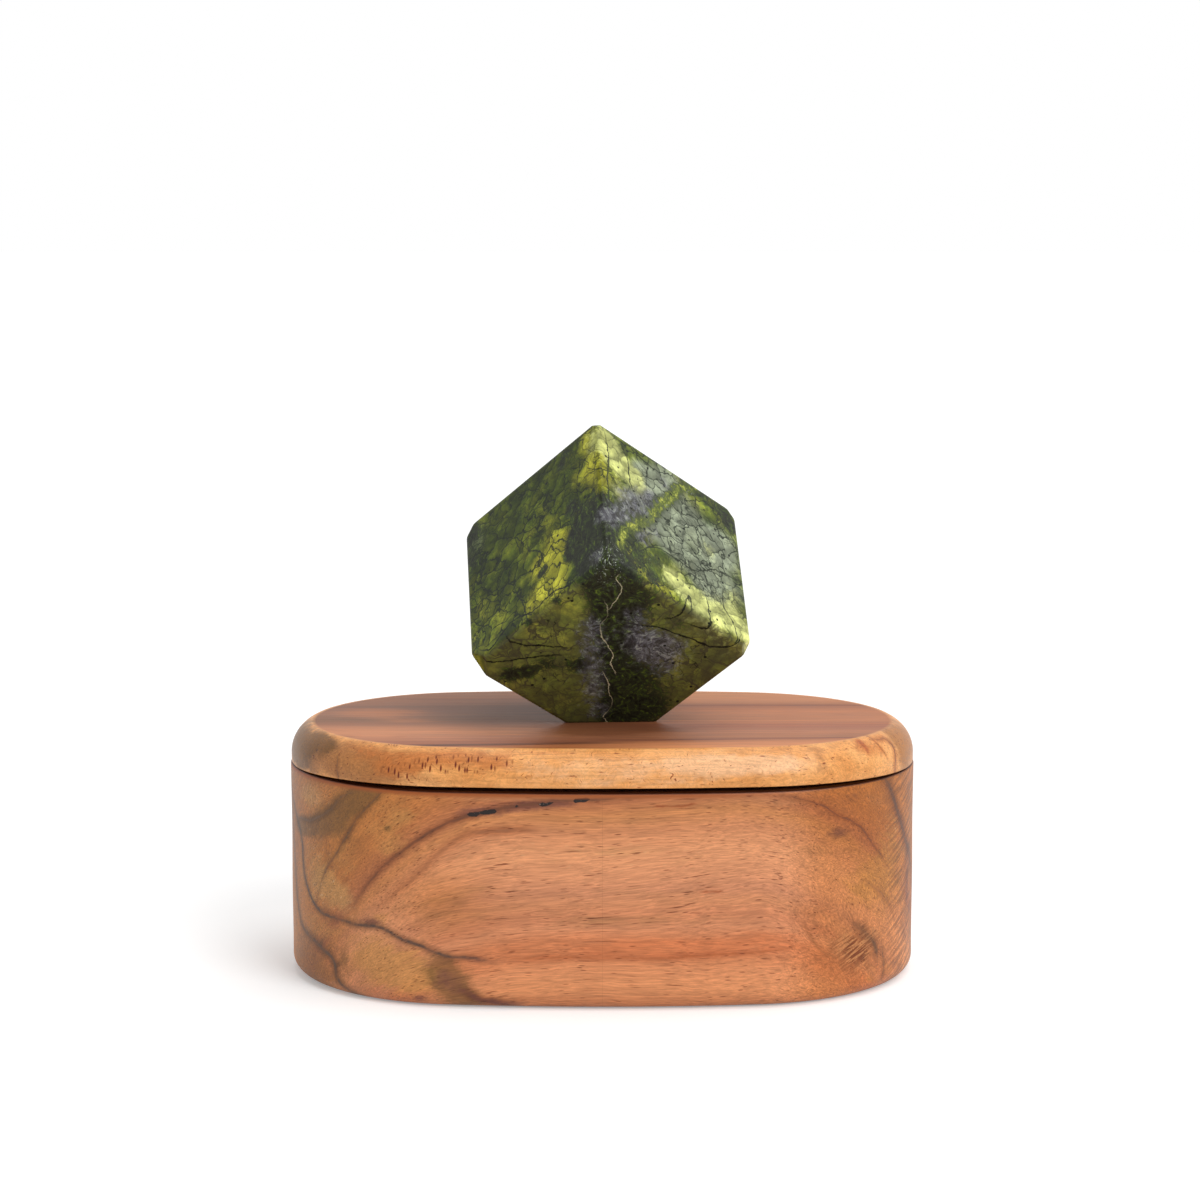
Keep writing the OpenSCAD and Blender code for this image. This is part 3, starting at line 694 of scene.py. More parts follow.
stripes = add(top, "MixRGB", {0: parts.outputs[2], 1: right_half, 2: left_half})
broken = stretched(top, figure, (7, 5, 3.5), 6, 0.68)
long_broken = stretched(top, grain_at, (40, 3, 3), 6, 0.7)
warm_stripe = add(top, "Attribute", attribute_name="warm_stripe").outputs["Fac"]
stone_painted_shadow = add(top, "Attribute", attribute_name="stone_painted_shadow").outputs["Fac"]
stripes = stained(top, stripes, "#B2714A", warm_stripe, long_broken, 0.7)
# Painted shadow of the stone, a darker reddish brown under and before it
stripes = stained(top, stripes, "#7A4628", stone_painted_shadow, long_broken, 0.7)
stripes = shaded(top, stripes, long_streaks, 0.88, 1.1)
blots = stretched(top, figure, (14, 9, 9), 5, 0.62)
side = add(top, "ValToRGB", {"Fac": blots}, stops=[(0.3, "#D48C4A"), (0.7, "#EEAE6E"), (0.5, "#E6A05C")])
# Painted highlight: pale gold on the rounded edge, most of all right of its middle
side = stained(top, side, "#F2BE90", stains[1], broken, 0.7)
side = stained(top, side, "#A66A38", shades[0], broken, 0.8)
side = stained(top, side, "#BC6C32", stains[2], broken, 0.75)
side = stained(top, side, "#A06428", shades[1], broken, 0.85)
side = stained(top, side, "#6C440C", stains[0], broken, 0.88)
ragged = stretched(top, figure, (4, 4, 4), 3, 0.5)
side = growth_line(top, side, ragged, "end_line", "#6B4630", 0.5, "#C8A890", 2.2)
side = growth_line(top, side, ragged, "thin_end_line", "#8A5A34", 0.4, "#D8B898", 1.2)
side = growth_line(top, side, ragged, "red_mark", "#A85C34", 0.8, "#D8A888", 2)
side = growth_line(top, side, ragged, "left_line", "#7A5A3C", 0.4, "#D0B898", 1.5)
colour = add(top, "MixRGB", {0: on_top, 1: side, 2: stripes})
fibres = stretched(top, grain_at, (26, 0.6, 0.6), 5, 0.66)
colour = shaded(top, colour, fibres, 0.82, 1.13)

# Pores: long and level on the top, short and twisted on the side, with upright strokes left of its middle
curled = twisted(top, figure, 0.16)
curls = stretched(top, curled, (3, 0.7, 0.7))
short_pores = pores(top, curled, (2.4, 1.3, 0.9), 0.5)
level_pores = pores(top, figure, (4, 1.2, 0.8), 0.3)
side_pore = add(top, "Math", {0: short_pores, 1: level_pores}, operation="MAXIMUM")
strokes = pores(top, place, (1.3, 4.5, 1), 0.95, voronoi_dimensions="2D")
stroke_share = add(top, "MapRange", {0: shades[2], 1: 0.35, 2: 0.75}, **smooth)
strokes = add(top, "Math", {0: strokes, 1: stroke_share}, operation="MULTIPLY")
side_pore = add(top, "Math", {0: side_pore, 1: strokes}, operation="MAXIMUM")
side_share = add(top, "Math", {0: 1, 1: on_top}, operation="SUBTRACT")
side_pore = add(top, "Math", {0: side_pore, 1: side_share}, operation="MULTIPLY")
top_pores = pores(top, grain_at, (14, 0.7, 0.7), 0.4)
top_pores = add(top, "Math", {0: top_pores, 1: on_top}, operation="MULTIPLY")
pore = add(top, "Math", {0: top_pores, 1: 0.5, 2: side_pore}, operation="MULTIPLY_ADD")
colour = shaded(top, colour, curls, 0.84, 1.06, 0.35, 0.65, side_share)
stroke_tone = add(top, "Math", {0: strokes, 1: 0.65}, operation="MULTIPLY")
colour = add(top, "MixRGB", {0: stroke_tone, 1: colour, 2: linear("#96562A")})
colour = add(top, "MixRGB", {0: pore, 1: colour, 2: linear("#9A6038")}, blend_type="MULTIPLY")
# Painted shade: the underside rows darkened
under = add(top, "Attribute", attribute_name="lid_under_painted_shade").outputs["Fac"]
under = add(top, "Math", {0: under, 1: 0.9}, operation="MULTIPLY")
colour = add(top, "MixRGB", {0: under, 1: colour, 2: linear("#5E4030")}, blend_type="MULTIPLY")
side_rough = add(top, "MapRange", {0: fibres, 1: 0.3, 2: 0.7, 3: 0.34, 4: 0.44}, **smooth)
rough = add(top, "Math", {0: on_top, 1: 0.18, 2: side_rough}, operation="MULTIPLY_ADD")
relief = add(top, "Math", {0: pore, 1: -0.7, 2: fibres}, operation="MULTIPLY_ADD")
wood_surface(top, colour, rough, relief, 0.25)


# Lid plug
# A thinner panel of the hardwood, glued under the lid. It drops into the cavity and keeps the lid in place.

plug_low, plug_high = (1000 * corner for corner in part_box("lid_plug"))
plug_ease = 1.2
plug_reach = 20
plug_rings = [(plug_inset + plug_reach, plug_low.z)]
plug_rings += rounded(plug_ease, plug_inset + plug_ease, plug_low.z + plug_ease, 0, 6)
plug_rings += between((plug_inset, plug_low.z + plug_ease), (plug_inset, plug_high.z), 4)
plug_rings += [(plug_inset, plug_high.z - 0.02)]
plug_points, plug_faces = sweep(plug_rings)
plug = built("plug_panel", plug_points, plug_faces)
paint(plug, "figure", plug_points)
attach(plug, "lid")
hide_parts("lid_plug")

raw = material_on(plug, "sanded_hardwood")
figure = add(raw, "Attribute", attribute_name="figure").outputs["Vector"]
fibres = stretched(raw, figure, (14, 0.6, 0.6), 4)
colour = add(raw, "ValToRGB", {"Fac": fibres}, stops=[(0.3, "#A06A42"), (0.7, "#C48A5C")])
wood_surface(raw, colour, 0.55, fibres, 0.2)


# Felt linings
# Dyed wool felt, 1.2 mm thick: an oval on the cavity's floor, a strip glued round its wall, an oval under
# the plug, and a dark oval in the recess under the box, which the box stands on.

felt_t = 1.2


def felt_oval(name, node, inset, tone, body_name):
    """An oval of felt with a slightly soft edge, in the place of a CAD felt."""
    low, high = (1000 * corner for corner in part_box(node))
    rings = [(inset + 12, low.z), (inset + 3, low.z), (inset + 0.3, low.z), (inset, low.z + 0.3)]
    rings += [(inset, high.z - 0.4), (inset + 0.15, high.z - 0.12), (inset + 0.5, high.z)]
    rings += between((inset + 0.5, high.z), (inset + 38, high.z), 30)
    points, faces = sweep(rings)
    piece = built(name, points, faces, 80)
    felt_finish(piece, "wool_felt_" + name, tone)
    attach(piece, body_name)
    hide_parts(node)


def felt_finish(piece, name, tone):
    """Felt: matted wool with no weave, in soft clumps of fibres about 1 mm across."""
    felt = material_on(piece, name)
    place = add(felt, "TexCoord").outputs["Object"]
    clumps = add(felt, "TexNoise", {"Vector": place, "Scale": 900, "Detail": 4, "Roughness": 0.7})
    hairs_at = add(felt, "Mapping", {"Vector": place, "Scale": (2600, 900, 900),
                                     "Rotation": (0.3, 0.2, 0.7)})
    hairs = add(felt, "TexNoise", {"Vector": hairs_at, "Scale": 1, "Detail": 2})
    mixed = add(felt, "Math", {0: clumps, 1: hairs}, operation="ADD")
    shade = add(felt, "MapRange", {"Value": mixed, 1: 0.7, 2: 1.3, 3: 0.6, 4: 1.3})
    colour = add(felt, "MixRGB", {0: 1, 1: linear(tone), 2: shade}, blend_type="MULTIPLY")
    bump = add(felt, "Bump", {"Height": mixed, "Strength": 0.6, "Distance": 0.0003})
    surface = add(felt, "BsdfPrincipled", {"Base Color": colour, "Roughness": 0.95, "Sheen Weight": 0.35,
                                           "Sheen Roughness": 0.5, "Normal": bump})
    add(felt, "OutputMaterial", {"Surface": surface})


wine = "#4E1F24"
base_inset = 10
felt_oval("floor_felt", "floor_lining", wall_t + cavity_round, wine, "box")
felt_oval("lid_felt", "lid_lining", plug_inset + plug_ease, wine, "lid")
felt_oval("base_felt", "base_pad", base_inset, "#2C2A28", "box")

wall_low, wall_high = (1000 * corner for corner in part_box("wall_lining"))
wall_felt_inset = 9.58
inner = wall_felt_inset + felt_t
strip_rings = [(inner, wall_low.z), (wall_felt_inset, wall_low.z)]
strip_rings += between((wall_felt_inset, wall_low.z), (wall_felt_inset, wall_high.z), 8)
strip_rings += [(wall_felt_inset + 0.1, wall_high.z - 0.1), (wall_felt_inset + 0.4, wall_high.z)]
strip_rings += [(inner - 0.4, wall_high.z), (inner - 0.1, wall_high.z - 0.1), (inner, wall_high.z - 0.4)]
strip_rings += between((inner, wall_high.z - 0.4), (inner, wall_low.z), 34)
strip_points, strip_faces = sweep(strip_rings)
strip_faces = strip_faces[:-2]
last_row = (len(strip_rings) - 1) * columns
here = np.arange(columns)
after = (here + 1) % columns
strip_faces += np.stack([last_row + here, last_row + after, after, here], axis=1).tolist()
strip = built("wall_felt", strip_points, strip_faces, 80)
felt_finish(strip, "wool_felt_wall", wine)
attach(strip, "box")
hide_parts("wall_lining")


# Stone cube
# A cube of green serpentine, polished and ground flat at its corners. It stands on one of them, held by the
# stud. Its faces show yellow-green cells in a net of cracks, and bands of nearly black stone.

stone_edge = 56.5
stone_ease = 1.5
stone_lean = (2.1, -3.4, 1.7)
foot_cut = 11.1
stone_x = 1
corner_cuts = {(1, 1, 1): 1.65, (1, -1, 1): 3.0, (-1, 1, 1): 2.7, (1, -1, -1): 3.9, (-1, 1, -1): 2.7,
               (1, 1, -1): 1.6, (-1, -1, 1): 2.7}
face_steps = 84
half_edge = stone_edge / 2
half_diagonal = half_edge * np.sqrt(3)
stone_z = lid_top + half_diagonal - foot_cut

# Each face's grid is finer towards its edges, where the round is.
grid = np.linspace(-1, 1, face_steps + 1)
grid = half_edge * np.sign(grid) * (1 - (1 - np.abs(grid))**1.35)
u_grid, v_grid = np.meshgrid(grid, grid, indexing="ij")
stone_points = []
stone_faces = []
for axis in range(3):
    for sign in (-1, 1):
        face_points = np.zeros((u_grid.size, 3))
        face_points[:, axis] = sign * half_edge
        face_points[:, (axis + 1) % 3] = u_grid.ravel()
        face_points[:, (axis + 2) % 3] = v_grid.ravel()
        start = len(stone_points) * u_grid.size
        i, j = np.meshgrid(np.arange(face_steps), np.arange(face_steps), indexing="ij")
        corner = start + i * (face_steps + 1) + j
        quad = np.stack([corner, corner + face_steps + 1, corner + face_steps + 2, corner + 1], axis=-1)
        stone_faces += (quad if sign > 0 else quad[..., ::-1]).reshape(-1, 4).tolist()
        stone_points.append(face_points)
stone_points = np.vstack(stone_points)

# Points that several faces share are made one.
places, merged = np.unique(np.round(stone_points, 5), axis=0, return_inverse=True)
stone_faces = merged.ravel()[np.array(stone_faces)].tolist()
core = np.clip(places, -half_edge + stone_ease, half_edge - stone_ease)
outward = places - core
outward /= np.linalg.norm(outward, axis=1)[:, None]
stone_points = core + stone_ease * outward
for corner, cut in corner_cuts.items():
    way = np.array(corner) / np.sqrt(3)
    past = stone_points @ way - (half_diagonal - cut)
    stone_points -= np.maximum(past, 0)[:, None] * way
stone_at = stone_points.copy()
stand = Euler((0, 0, np.radians(-90))).to_matrix()
stand = stand @ Euler((0, -np.arctan(np.sqrt(2)), 0)).to_matrix()
stand = stand @ Euler((0, 0, np.radians(-45))).to_matrix()
lean = Euler(np.radians(stone_lean)).to_matrix()
stone_points = stone_points @ np.array(lean @ stand).T + (stone_x, 0, stone_z)
stone_points[:, 2] = np.maximum(stone_points[:, 2], lid_top)
stone = built("serpentine_cube", stone_points, stone_faces, 60)
paint(stone, "stone_at", stone_at)
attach(stone, "lid")
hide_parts("stone_cube")


def stone_spots(spots):
    """Weight from 0 to 1 of soft round spots in the cube's own frame, each (centre, radius, strength)."""
    weight = np.zeros(len(stone_at))
    for centre, radius, strength in spots:
        weight += strength * np.exp(-np.sum((stone_at - centre)**2, axis=1) / radius**2)
    return np.clip(weight, 0, 1)


# Where the stone is yellow, nearly black and grey-green
yellow = stone_spots([
    ((28, 25, 23), 4, 1), ((28, 28, 17), 5, 1), ((28, 25, 10), 4, 0.9), ((28, 27, 4), 4, 0.9),
    ((28, 27, -2), 3, 0.5), ((25, 28, 22), 4, 0.6), ((28, 12, -8), 4, 0.9), ((28, 9, -13), 4.5, 1),
    ((28, 2, -10), 3.5, 0.8), ((28, 2, -22), 4.5, 0.7), ((28, -2, -24), 4, 0.5), ((28, 10, -22), 4.5, 0.8),
    ((27, 7, -28), 5, 0.5), ((28, 8, -5), 3, 0.7), ((28, 6, 0), 8, 0.35), ((28, 18, 10), 8, 0.35),
    ((28, 0, -16), 9, 0.35), ((18, 28, -21), 3, 0.5), ((12, 28, -27), 3, 0.5), ((7, 28, -26), 3, 0.6),
    ((-12, 28, -27), 4, 0.6), ((-24, 26, -26), 4, 0.8), ((0, 16, -28), 4, 0.3), ((-16, 12, -28), 6, 0.35)])
dark = stone_spots([
    ((28, 16, 2), 4, 0.8), ((28, 23, -6), 6, 1), ((28, 19, -10), 5, 1), ((28, 16, -12), 4, 0.6),
    ((28, 20, -19), 5, 1), ((28, 25, -18), 5, 1), ((28, 27, -13), 5, 1), ((28, 14, -15), 3, 0.7),
    ((28, 22, -26), 5, 0.9), ((20, 20, -28), 7, 1), ((24, 26, -26), 6, 0.9), ((11, 11, -28), 6.5, 1),
    ((3, 3, -28), 6, 1), ((-6, -5, -28), 6, 1), ((-14, -14, -28), 6, 1), ((-22, -22, -28), 6, 1),
    ((18, -23, -28), 3.5, 0.9), ((15, -19, -28), 3, 0.8), ((13, -13, -28), 4, 0.7), ((6, -8, -28), 4, 0.8),
    ((12, 20, -28), 8, 0.8), ((-1, 12, -28), 6, 0.5), ((-12, 3, -28), 8, 0.6), ((-22, -8, -28), 8, 0.8),
    ((-4, 22, -28), 5, 0.4), ((16, 28, -18), 5, 0.6), ((10, 28, -24), 3, 0.5), ((27, 28, -4), 4, 0.5),
    ((20, 28, -12), 4, 0.35), ((-15, 28, 27), 4, 0.7), ((-22, 27, 24), 4, 0.8), ((-26, 27, 20), 4, 0.9),
    ((-25, 27, -2), 3, 0.7), ((10, 28, 6), 4, 0.4), ((13, 28, -9), 4, 0.35), ((8, 28, -15), 4, 0.45),
    ((28, -25, 23), 5, 0.8), ((28, -27, 12), 6, 0.7), ((28, 13, 21), 2.5, 0.7), ((28, 15, 25), 2.5, 0.7),
    ((28, -5, 15), 2.5, 0.5), ((28, 7, 10), 2.5, 0.5), ((28, 2, -14), 1.6, 1), ((28, 4, -13), 1.6, 1),
    ((28, -25, -20), 4, 0.6), ((28, -4, -28), 2, 0.8), ((28, 7, -28), 2, 0.8), ((-28, -10, 0), 14, 0.8),
    ((0, -28, 10), 14, 0.6)])
grey = stone_spots([
    ((10, 28, 19), 6, 0.8), ((1, 28, 24), 6, 0.8), ((14, 28, 5), 6, 0.8), ((6, 28, 12), 7, 0.9),
    ((-6, 28, 12), 8, 0.9), ((2, 28, 3), 7, 0.8), ((4, 28, -5), 7, 0.9), ((-10, 28, -8), 9, 0.9),
    ((-18, 28, 4), 8, 0.8), ((24, 28, -9), 6, 0.8), ((-14, 28, -16), 7, 0.6), ((-20, 28, 10), 7, 0.8),
    ((-24, 28, -8), 6, 0.6), ((28, -24, 18), 7, 0.6), ((-10, -28, -10), 16, 0.7),
    ((-28, 15, 15), 12, 0.5)])
paint(stone, "zones", np.stack([yellow, dark, grey], axis=1))

# Where it is pale yellow and purple-grey, and where painted shade dims it: the whole left face but for its
# yellow
on_left_face = smooth_step(half_edge - 1.5, half_edge - 0.5, stone_at[:, 0])
paint(stone, "more_zones", np.stack([
    stone_spots([
        ((25, 28, 23), 5, 1), ((24, 28, 18), 5, 1), ((20, 28, 15), 5, 1), ((14, 28, 14), 4.5, 1),
        ((21, 28, 3), 4, 0.9), ((13, 28, 8), 3.5, 0.5), ((2, 28, -19), 5, 1), ((-5, 28, -23), 5, 1),
        ((-13, 28, -23), 6, 1), ((-21, 28, -20), 6, 1), ((-26, 26, -24), 5, 0.8), ((-23, 28, -10), 4, 0.6),
        ((-14, 28, 3), 4, 0.5)]),
    stone_spots([
        ((27, 28, -10), 4, 1), ((22, 28, -6), 4, 0.8), ((17, 28, 2), 6, 1), ((9, 28, 9), 5, 0.8),
        ((2, 28, 20), 4, 0.6), ((14, 28, -10), 5, 0.8), ((8, 28, -4), 5, 0.5), ((28, 24, -24), 4, 0.7),
        ((14, 6, -28), 5, 0.7), ((8, 0, -28), 5, 0.7), ((2, -6, -28), 5, 0.7), ((-4, -12, -28), 5, 0.7),
        ((-11, -18, -28), 5, 0.7), ((8, 17, -28), 5, 0.6), ((1, 12, -28), 5, 0.7), ((-5, 8, -28), 6, 0.7),
        ((-9, 15, -28), 7, 0.7), ((-15, 7, -28), 6, 0.5)]),
    on_left_face * (1 - 0.85 * yellow) * (0.15 + 1.1 * smooth_step(-24, 10, stone_at[:, 2]))], axis=1))
paint(stone, "on_low_face", smooth_step(half_edge - 1.5, half_edge - 0.5, -stone_at[:, 2]))
paint(stone, "glints", stone_spots([
    ((28, 27, -26), 4, 1), ((26, 28, -24), 3.5, 1), ((23, 24, -28), 3.5, 0.9), ((24, 28, -12), 2.5, 0.5),
    ((11, 28, -17), 2, 0.5), ((-8, 28, 22), 3, 0.5), ((2, 28, 12), 2.5, 0.7)]))

# Lines drawn on one face of the cube, (across, up, strength) along its two sides: the mossy vein, the thin
# cream veins, and the long dark cracks
stone_lines = {
    ("moss_vein", "right"): [(-13, 30, 0.7), (-11, 26.5, 0.9), (-6, 23.5, 1), (-2, 18, 1), (2, 12.5, 1),
                             (7, 5, 0.8), (9.5, 0, 0.7), (14, -4.5, 0.7), (18.5, -10, 0.8),
                             (21, -13.5, 0.9), (22.5, -17.5, 0.7), (24, -22, 0)],
    ("first_cream", "low"): [(18, 16, 0), (16.5, 15, 0.4), (13, 12, 0.2), (12, 8, 0.4), (8.5, 5, 0.8),
                             (4, 3, 1), (0.5, 1, 1), (-0.5, -1, 1), (-4, -3, 0.8), (-5.5, -4, 0)],
    ("second_cream", "low"): [(-1, -5, 0), (-2.5, -6, 0.9), (-6.5, -8, 1), (-9, -10.5, 0.9),
                              (-11, -11.5, 0.6), (-13.5, -15, 0.2), (-14.5, -19, 0.9), (-16, -19.5, 1),
                              (-18, -20.5, 0.9), (-21, -22, 0)],
    ("third_cream", "low"): [(22, 26, 0), (21, 24, 0.9), (17.5, 22.5, 0.8), (15.5, 18.5, 1), (15, 16, 0.8),
                             (14.5, 13.5, 0)],
    ("ridge_crack", "right"): [(25.5, 28, 0), (24.5, 19.5, 1), (24.5, 12.5, 1), (25.5, 6.5, 1),
                               (25.5, -4.5, 0.7), (25, -9, 0)],
    ("pale_crack", "right"): [(18.5, 26, 0), (18, 23, 0.8), (16.5, 19, 1), (16.5, 12.5, 1), (16, 9, 0.7),
                              (14.5, 5, 0)],
    ("third_crack", "right"): [(7.5, 28, 0), (8, 24.5, 0.8), (9.5, 15, 0.7), (10, 11, 0)],
    ("long_arc", "right"): [(16, -18, 0), (14, -15.5, 0.7), (8, -10.5, 0.9), (0.5, -10, 1), (-6.5, -10, 1),
                            (-16, -4, 1), (-24, -2.5, 0.7), (-28, -2, 0)],
    ("ring", "right"): [(-10, -15, 0), (-11, -20, 0.9), (-11.5, -29, 1)],
    ("corner_arc", "right"): [(-22, -29, 1), (-22, -25.5, 1), (-21, -21.5, 1), (-18, -18, 0.9),
                              (-18, -12.5, 0.7), (-19.5, -7, 0)],
    ("fold", "right"): [(-1, -29, 1), (-2, -25, 0.9), (-3.5, -22, 1), (-4, -25, 0.9), (-4, -29, 0.6)],
    ("long_crack", "low"): [(8, 13, 0), (3.5, 15, 0.8), (-0.5, 17.5, 1), (-6, 19, 1), (-11.5, 20.5, 1),
                            (-18.5, 22, 1), (-22, 25.5, 1), (-23, 29, 1)],
    ("ring_end", "low"): [(-12, 29, 1), (-11.5, 26, 1), (-8, 24.5, 0.8), (-4, 23.5, 0)],
    ("fold_end", "low"): [(-1.5, 29, 1), (-2, 25.5, 1), (-0.5, 22, 0.7), (1, 20, 0)],
    ("upper_left_crack", "low"): [(29, -13.5, 0.8), (24.5, -12, 1), (19.5, -9, 1), (14, -5, 0.8),
                                  (10, -3, 0)],
    ("lower_left_crack", "low"): [(29, -25, 0.8), (25.5, -22.5, 1), (20.5, -17, 1), (16.5, -12, 0.9),
                                  (13.5, -9, 0.8), (10, -6, 0)],
    ("edge_crack", "left"): [(-26, -22, 0), (-20.5, -26.5, 1), (-10, -23, 0.8), (-2, -25.5, 1),
                             (6, -24.5, 1), (14, -26.5, 0.8), (18, -26, 0)],
    ("tree_crack", "left"): [(-2, 7, 0), (-2, 3, 0.7), (-2, -1, 0.9), (2, -4.5, 1), (3.5, -9.5, 0.9),
                             (4, -14, 0)],
    ("side_crack", "left"): [(-9, -10, 0), (-8, -13.5, 0.9), (-6, -18.5, 1), (-4.5, -26, 0.9),
                             (-4, -29, 0.5)],
}
# Each face's axis, its side on that axis, and the axes that run across it and up
stone_face = {"left": (0, 1, 1, 2), "right": (1, 1, 0, 2), "low": (2, -1, 0, 1)}
for (name, face), line in stone_lines.items():
    axis, sign, across_axis, up_axis = stone_face[face]
    near = stone_at[:, axis] * sign > half_edge - stone_ease
    trace(stone, name, stone_at[:, across_axis], stone_at[:, up_axis], line, near)

# Three stars of cracks on the lower face, each (centre, reach)
stars = {"right_star": ((-14, 13.5), 11), "low_star": ((8, -19), 7), "left_star": ((22.5, -3), 6)}
for name, (centre, reach) in stars.items():
    star_x, star_y = (stone_at[:, :2] - centre).T
    from_star = np.where(stone_at[:, 2] < -half_edge + stone_ease, np.hypot(star_x, star_y) / reach, 9)
    paint(stone, name, np.stack([star_x, star_y, from_star], axis=1))

# Polished serpentine: cells 2 to 6 mm across, parted by dark cracks about 0.3 mm wide. Where it is dark,
# moss green and charcoal run into each other like feathers. Waxed to a low gloss.
gem = material_on(stone, "polished_serpentine")
place = add(gem, "Attribute", attribute_name="stone_at").outputs["Vector"]
zone = painted(gem, "zones")
more = painted(gem, "more_zones")
warp = add(gem, "TexNoise", {"Vector": place, "Scale": 0.16, "Detail": 3})
warped = add(gem, "VectorMath", {0: warp.outputs["Color"], 1: (9,) * 3, 2: place}, operation="MULTIPLY_ADD")
cloud = stretched(gem, place, (9, 9, 9), 6, 0.66)
speckle = stretched(gem, place, (2.6, 2.6, 2.6), 7, 0.72)
feather = stretched(gem, warped, (1.6, 1.6, 4.5), 7, 0.75)
colour = add(gem, "ValToRGB", {"Fac": cloud}, stops=[
    (0.3, "#2C3A16"), (0.72, "#AAA838"), (0.4, "#48541C"), (0.5, "#667222"), (0.6, "#888E2E")])
colour = stained(gem, colour, "#8C947E", zone[2], cloud, 0.88)
colour = stained(gem, colour, "#C4C03A", zone[0], cloud, 0.8)
colour = stained(gem, colour, "#C8CC7E", more[0], speckle, 0.85)

# Cells of several tones with darker rims
cells = add(gem, "TexVoronoi", {"Vector": warped, "Scale": 0.18})
cell_kind = add(gem, "SeparateXYZ", {"Vector": cells.outputs["Color"]})
cell_tone = add(gem, "MapRange", {0: cell_kind.outputs[0], 3: 0.78, 4: 1.22})
cell_rim = add(gem, "MapRange", {0: cells.outputs["Distance"], 1: 0.1, 2: 0.75, 3: 1.12, 4: 0.8}, **smooth)
cell_side = add(gem, "VectorMath", {0: warped, 1: cells.outputs["Position"]}, operation="SUBTRACT")
cell_side = add(gem, "VectorMath", {0: cell_side, 1: (0.25, -0.3, 0.35)}, operation="DOT_PRODUCT")
cell_side = cell_side.outputs["Value"]
cell_side = add(gem, "MapRange", {0: cell_side, 1: -0.8, 2: 0.8, 3: 0.72, 4: 1.22}, **smooth)
speckle_tone = add(gem, "MapRange", {0: speckle, 1: 0.3, 2: 0.7, 3: 0.68, 4: 1.25}, **smooth)
# Painted shade: the left face dimmed, but for its yellow
dim = add(gem, "MixRGB", {0: more[2], 1: linear("#FFFFFF"), 2: linear("#B4BCA2")})
for tone in (cell_tone, cell_rim, cell_side, speckle_tone, dim):
    colour = add(gem, "MixRGB", {0: 1, 1: colour, 2: tone}, blend_type="MULTIPLY")


def crack_net(scale, width, noise_size, low, high):
    """Net of cracks round cells of 1/scale millimetres, there only where a noise is high."""
    edges = add(gem, "TexVoronoi", {"Vector": warped, "Scale": scale}, feature="DISTANCE_TO_EDGE")
    net = add(gem, "MapRange", {0: edges, 1: width * scale * 0.3, 2: width * scale, 3: 1, 4: 0}, **smooth)
    there = stretched(gem, place, (noise_size,) * 3, 2)
    there = add(gem, "MapRange", {0: there, 1: low, 2: high}, **smooth)
    return add(gem, "Math", {0: net, 1: there}, operation="MULTIPLY")


wide_net = crack_net(0.18, 0.32, 12, 0.34, 0.48)
fine_net = crack_net(0.42, 0.24, 8, 0.44, 0.56)
net = add(gem, "Math", {0: fine_net, 1: 0.6}, operation="MULTIPLY")
net = add(gem, "Math", {0: wide_net, 1: net}, operation="MAXIMUM")
net_share = add(gem, "MapRange", {0: more[0], 3: 0.92, 4: 0.35})
net_share = add(gem, "Math", {0: net, 1: net_share}, operation="MULTIPLY")
colour = add(gem, "MixRGB", {0: net_share, 1: colour, 2: linear("#182012")})

# The lower face is browner and greyer.
low_face = add(gem, "Attribute", attribute_name="on_low_face").outputs["Fac"]
brown_share = add(gem, "Math", {0: low_face, 1: 0.45}, operation="MULTIPLY")
colour = add(gem, "MixRGB", {0: brown_share, 1: colour, 2: linear("#625A42")})

# Charcoal and moss, purple-grey in places
dark = add(gem, "ValToRGB", {"Fac": feather}, stops=[
    (0.38, "#12140E"), (0.68, "#66742C"), (0.46, "#20221C"), (0.54, "#2C3220"), (0.6, "#40501F")])
purple = add(gem, "ValToRGB", {"Fac": feather}, stops=[
    (0.36, "#262426"), (0.66, "#A8AAA2"), (0.46, "#48464A"), (0.54, "#6C6C72"), (0.6, "#8A8C8A")])
ragged = add(gem, "Math", {0: feather, 1: 1.8, 2: zone[1]}, operation="MULTIPLY_ADD")
dark_here = add(gem, "MapRange", {0: ragged, 1: 1.2, 2: 1.55, 4: 0.96}, **smooth)
colour = add(gem, "MixRGB", {0: dark_here, 1: colour, 2: dark})
ragged = add(gem, "Math", {0: speckle, 1: 1.8, 2: more[1]}, operation="MULTIPLY_ADD")
purple_here = add(gem, "MapRange", {0: ragged, 1: 1.2, 2: 1.8, 4: 0.85}, **smooth)
colour = add(gem, "MixRGB", {0: purple_here, 1: colour, 2: purple})


def stone_vein(colour, name, tone, width, wobble, gap_from=0.0, gap_to=0.01):
    """Draws a traced line in the stone, only where the feather noise has come up from gap_from to gap_to."""
    gap, strength = followed(gem, name, speckle, wobble)
    line = add(gem, "MapRange", {0: gap, 1: width * 0.3, 2: width, 3: 1, 4: 0}, **smooth)
    line = add(gem, "Math", {0: line, 1: strength}, operation="MULTIPLY")
    there = add(gem, "MapRange", {0: feather, 1: gap_from, 2: gap_to}, **smooth)
    line = add(gem, "Math", {0: line, 1: there}, operation="MULTIPLY")
    return add(gem, "MixRGB", {0: line, 1: colour, 2: linear(tone)})


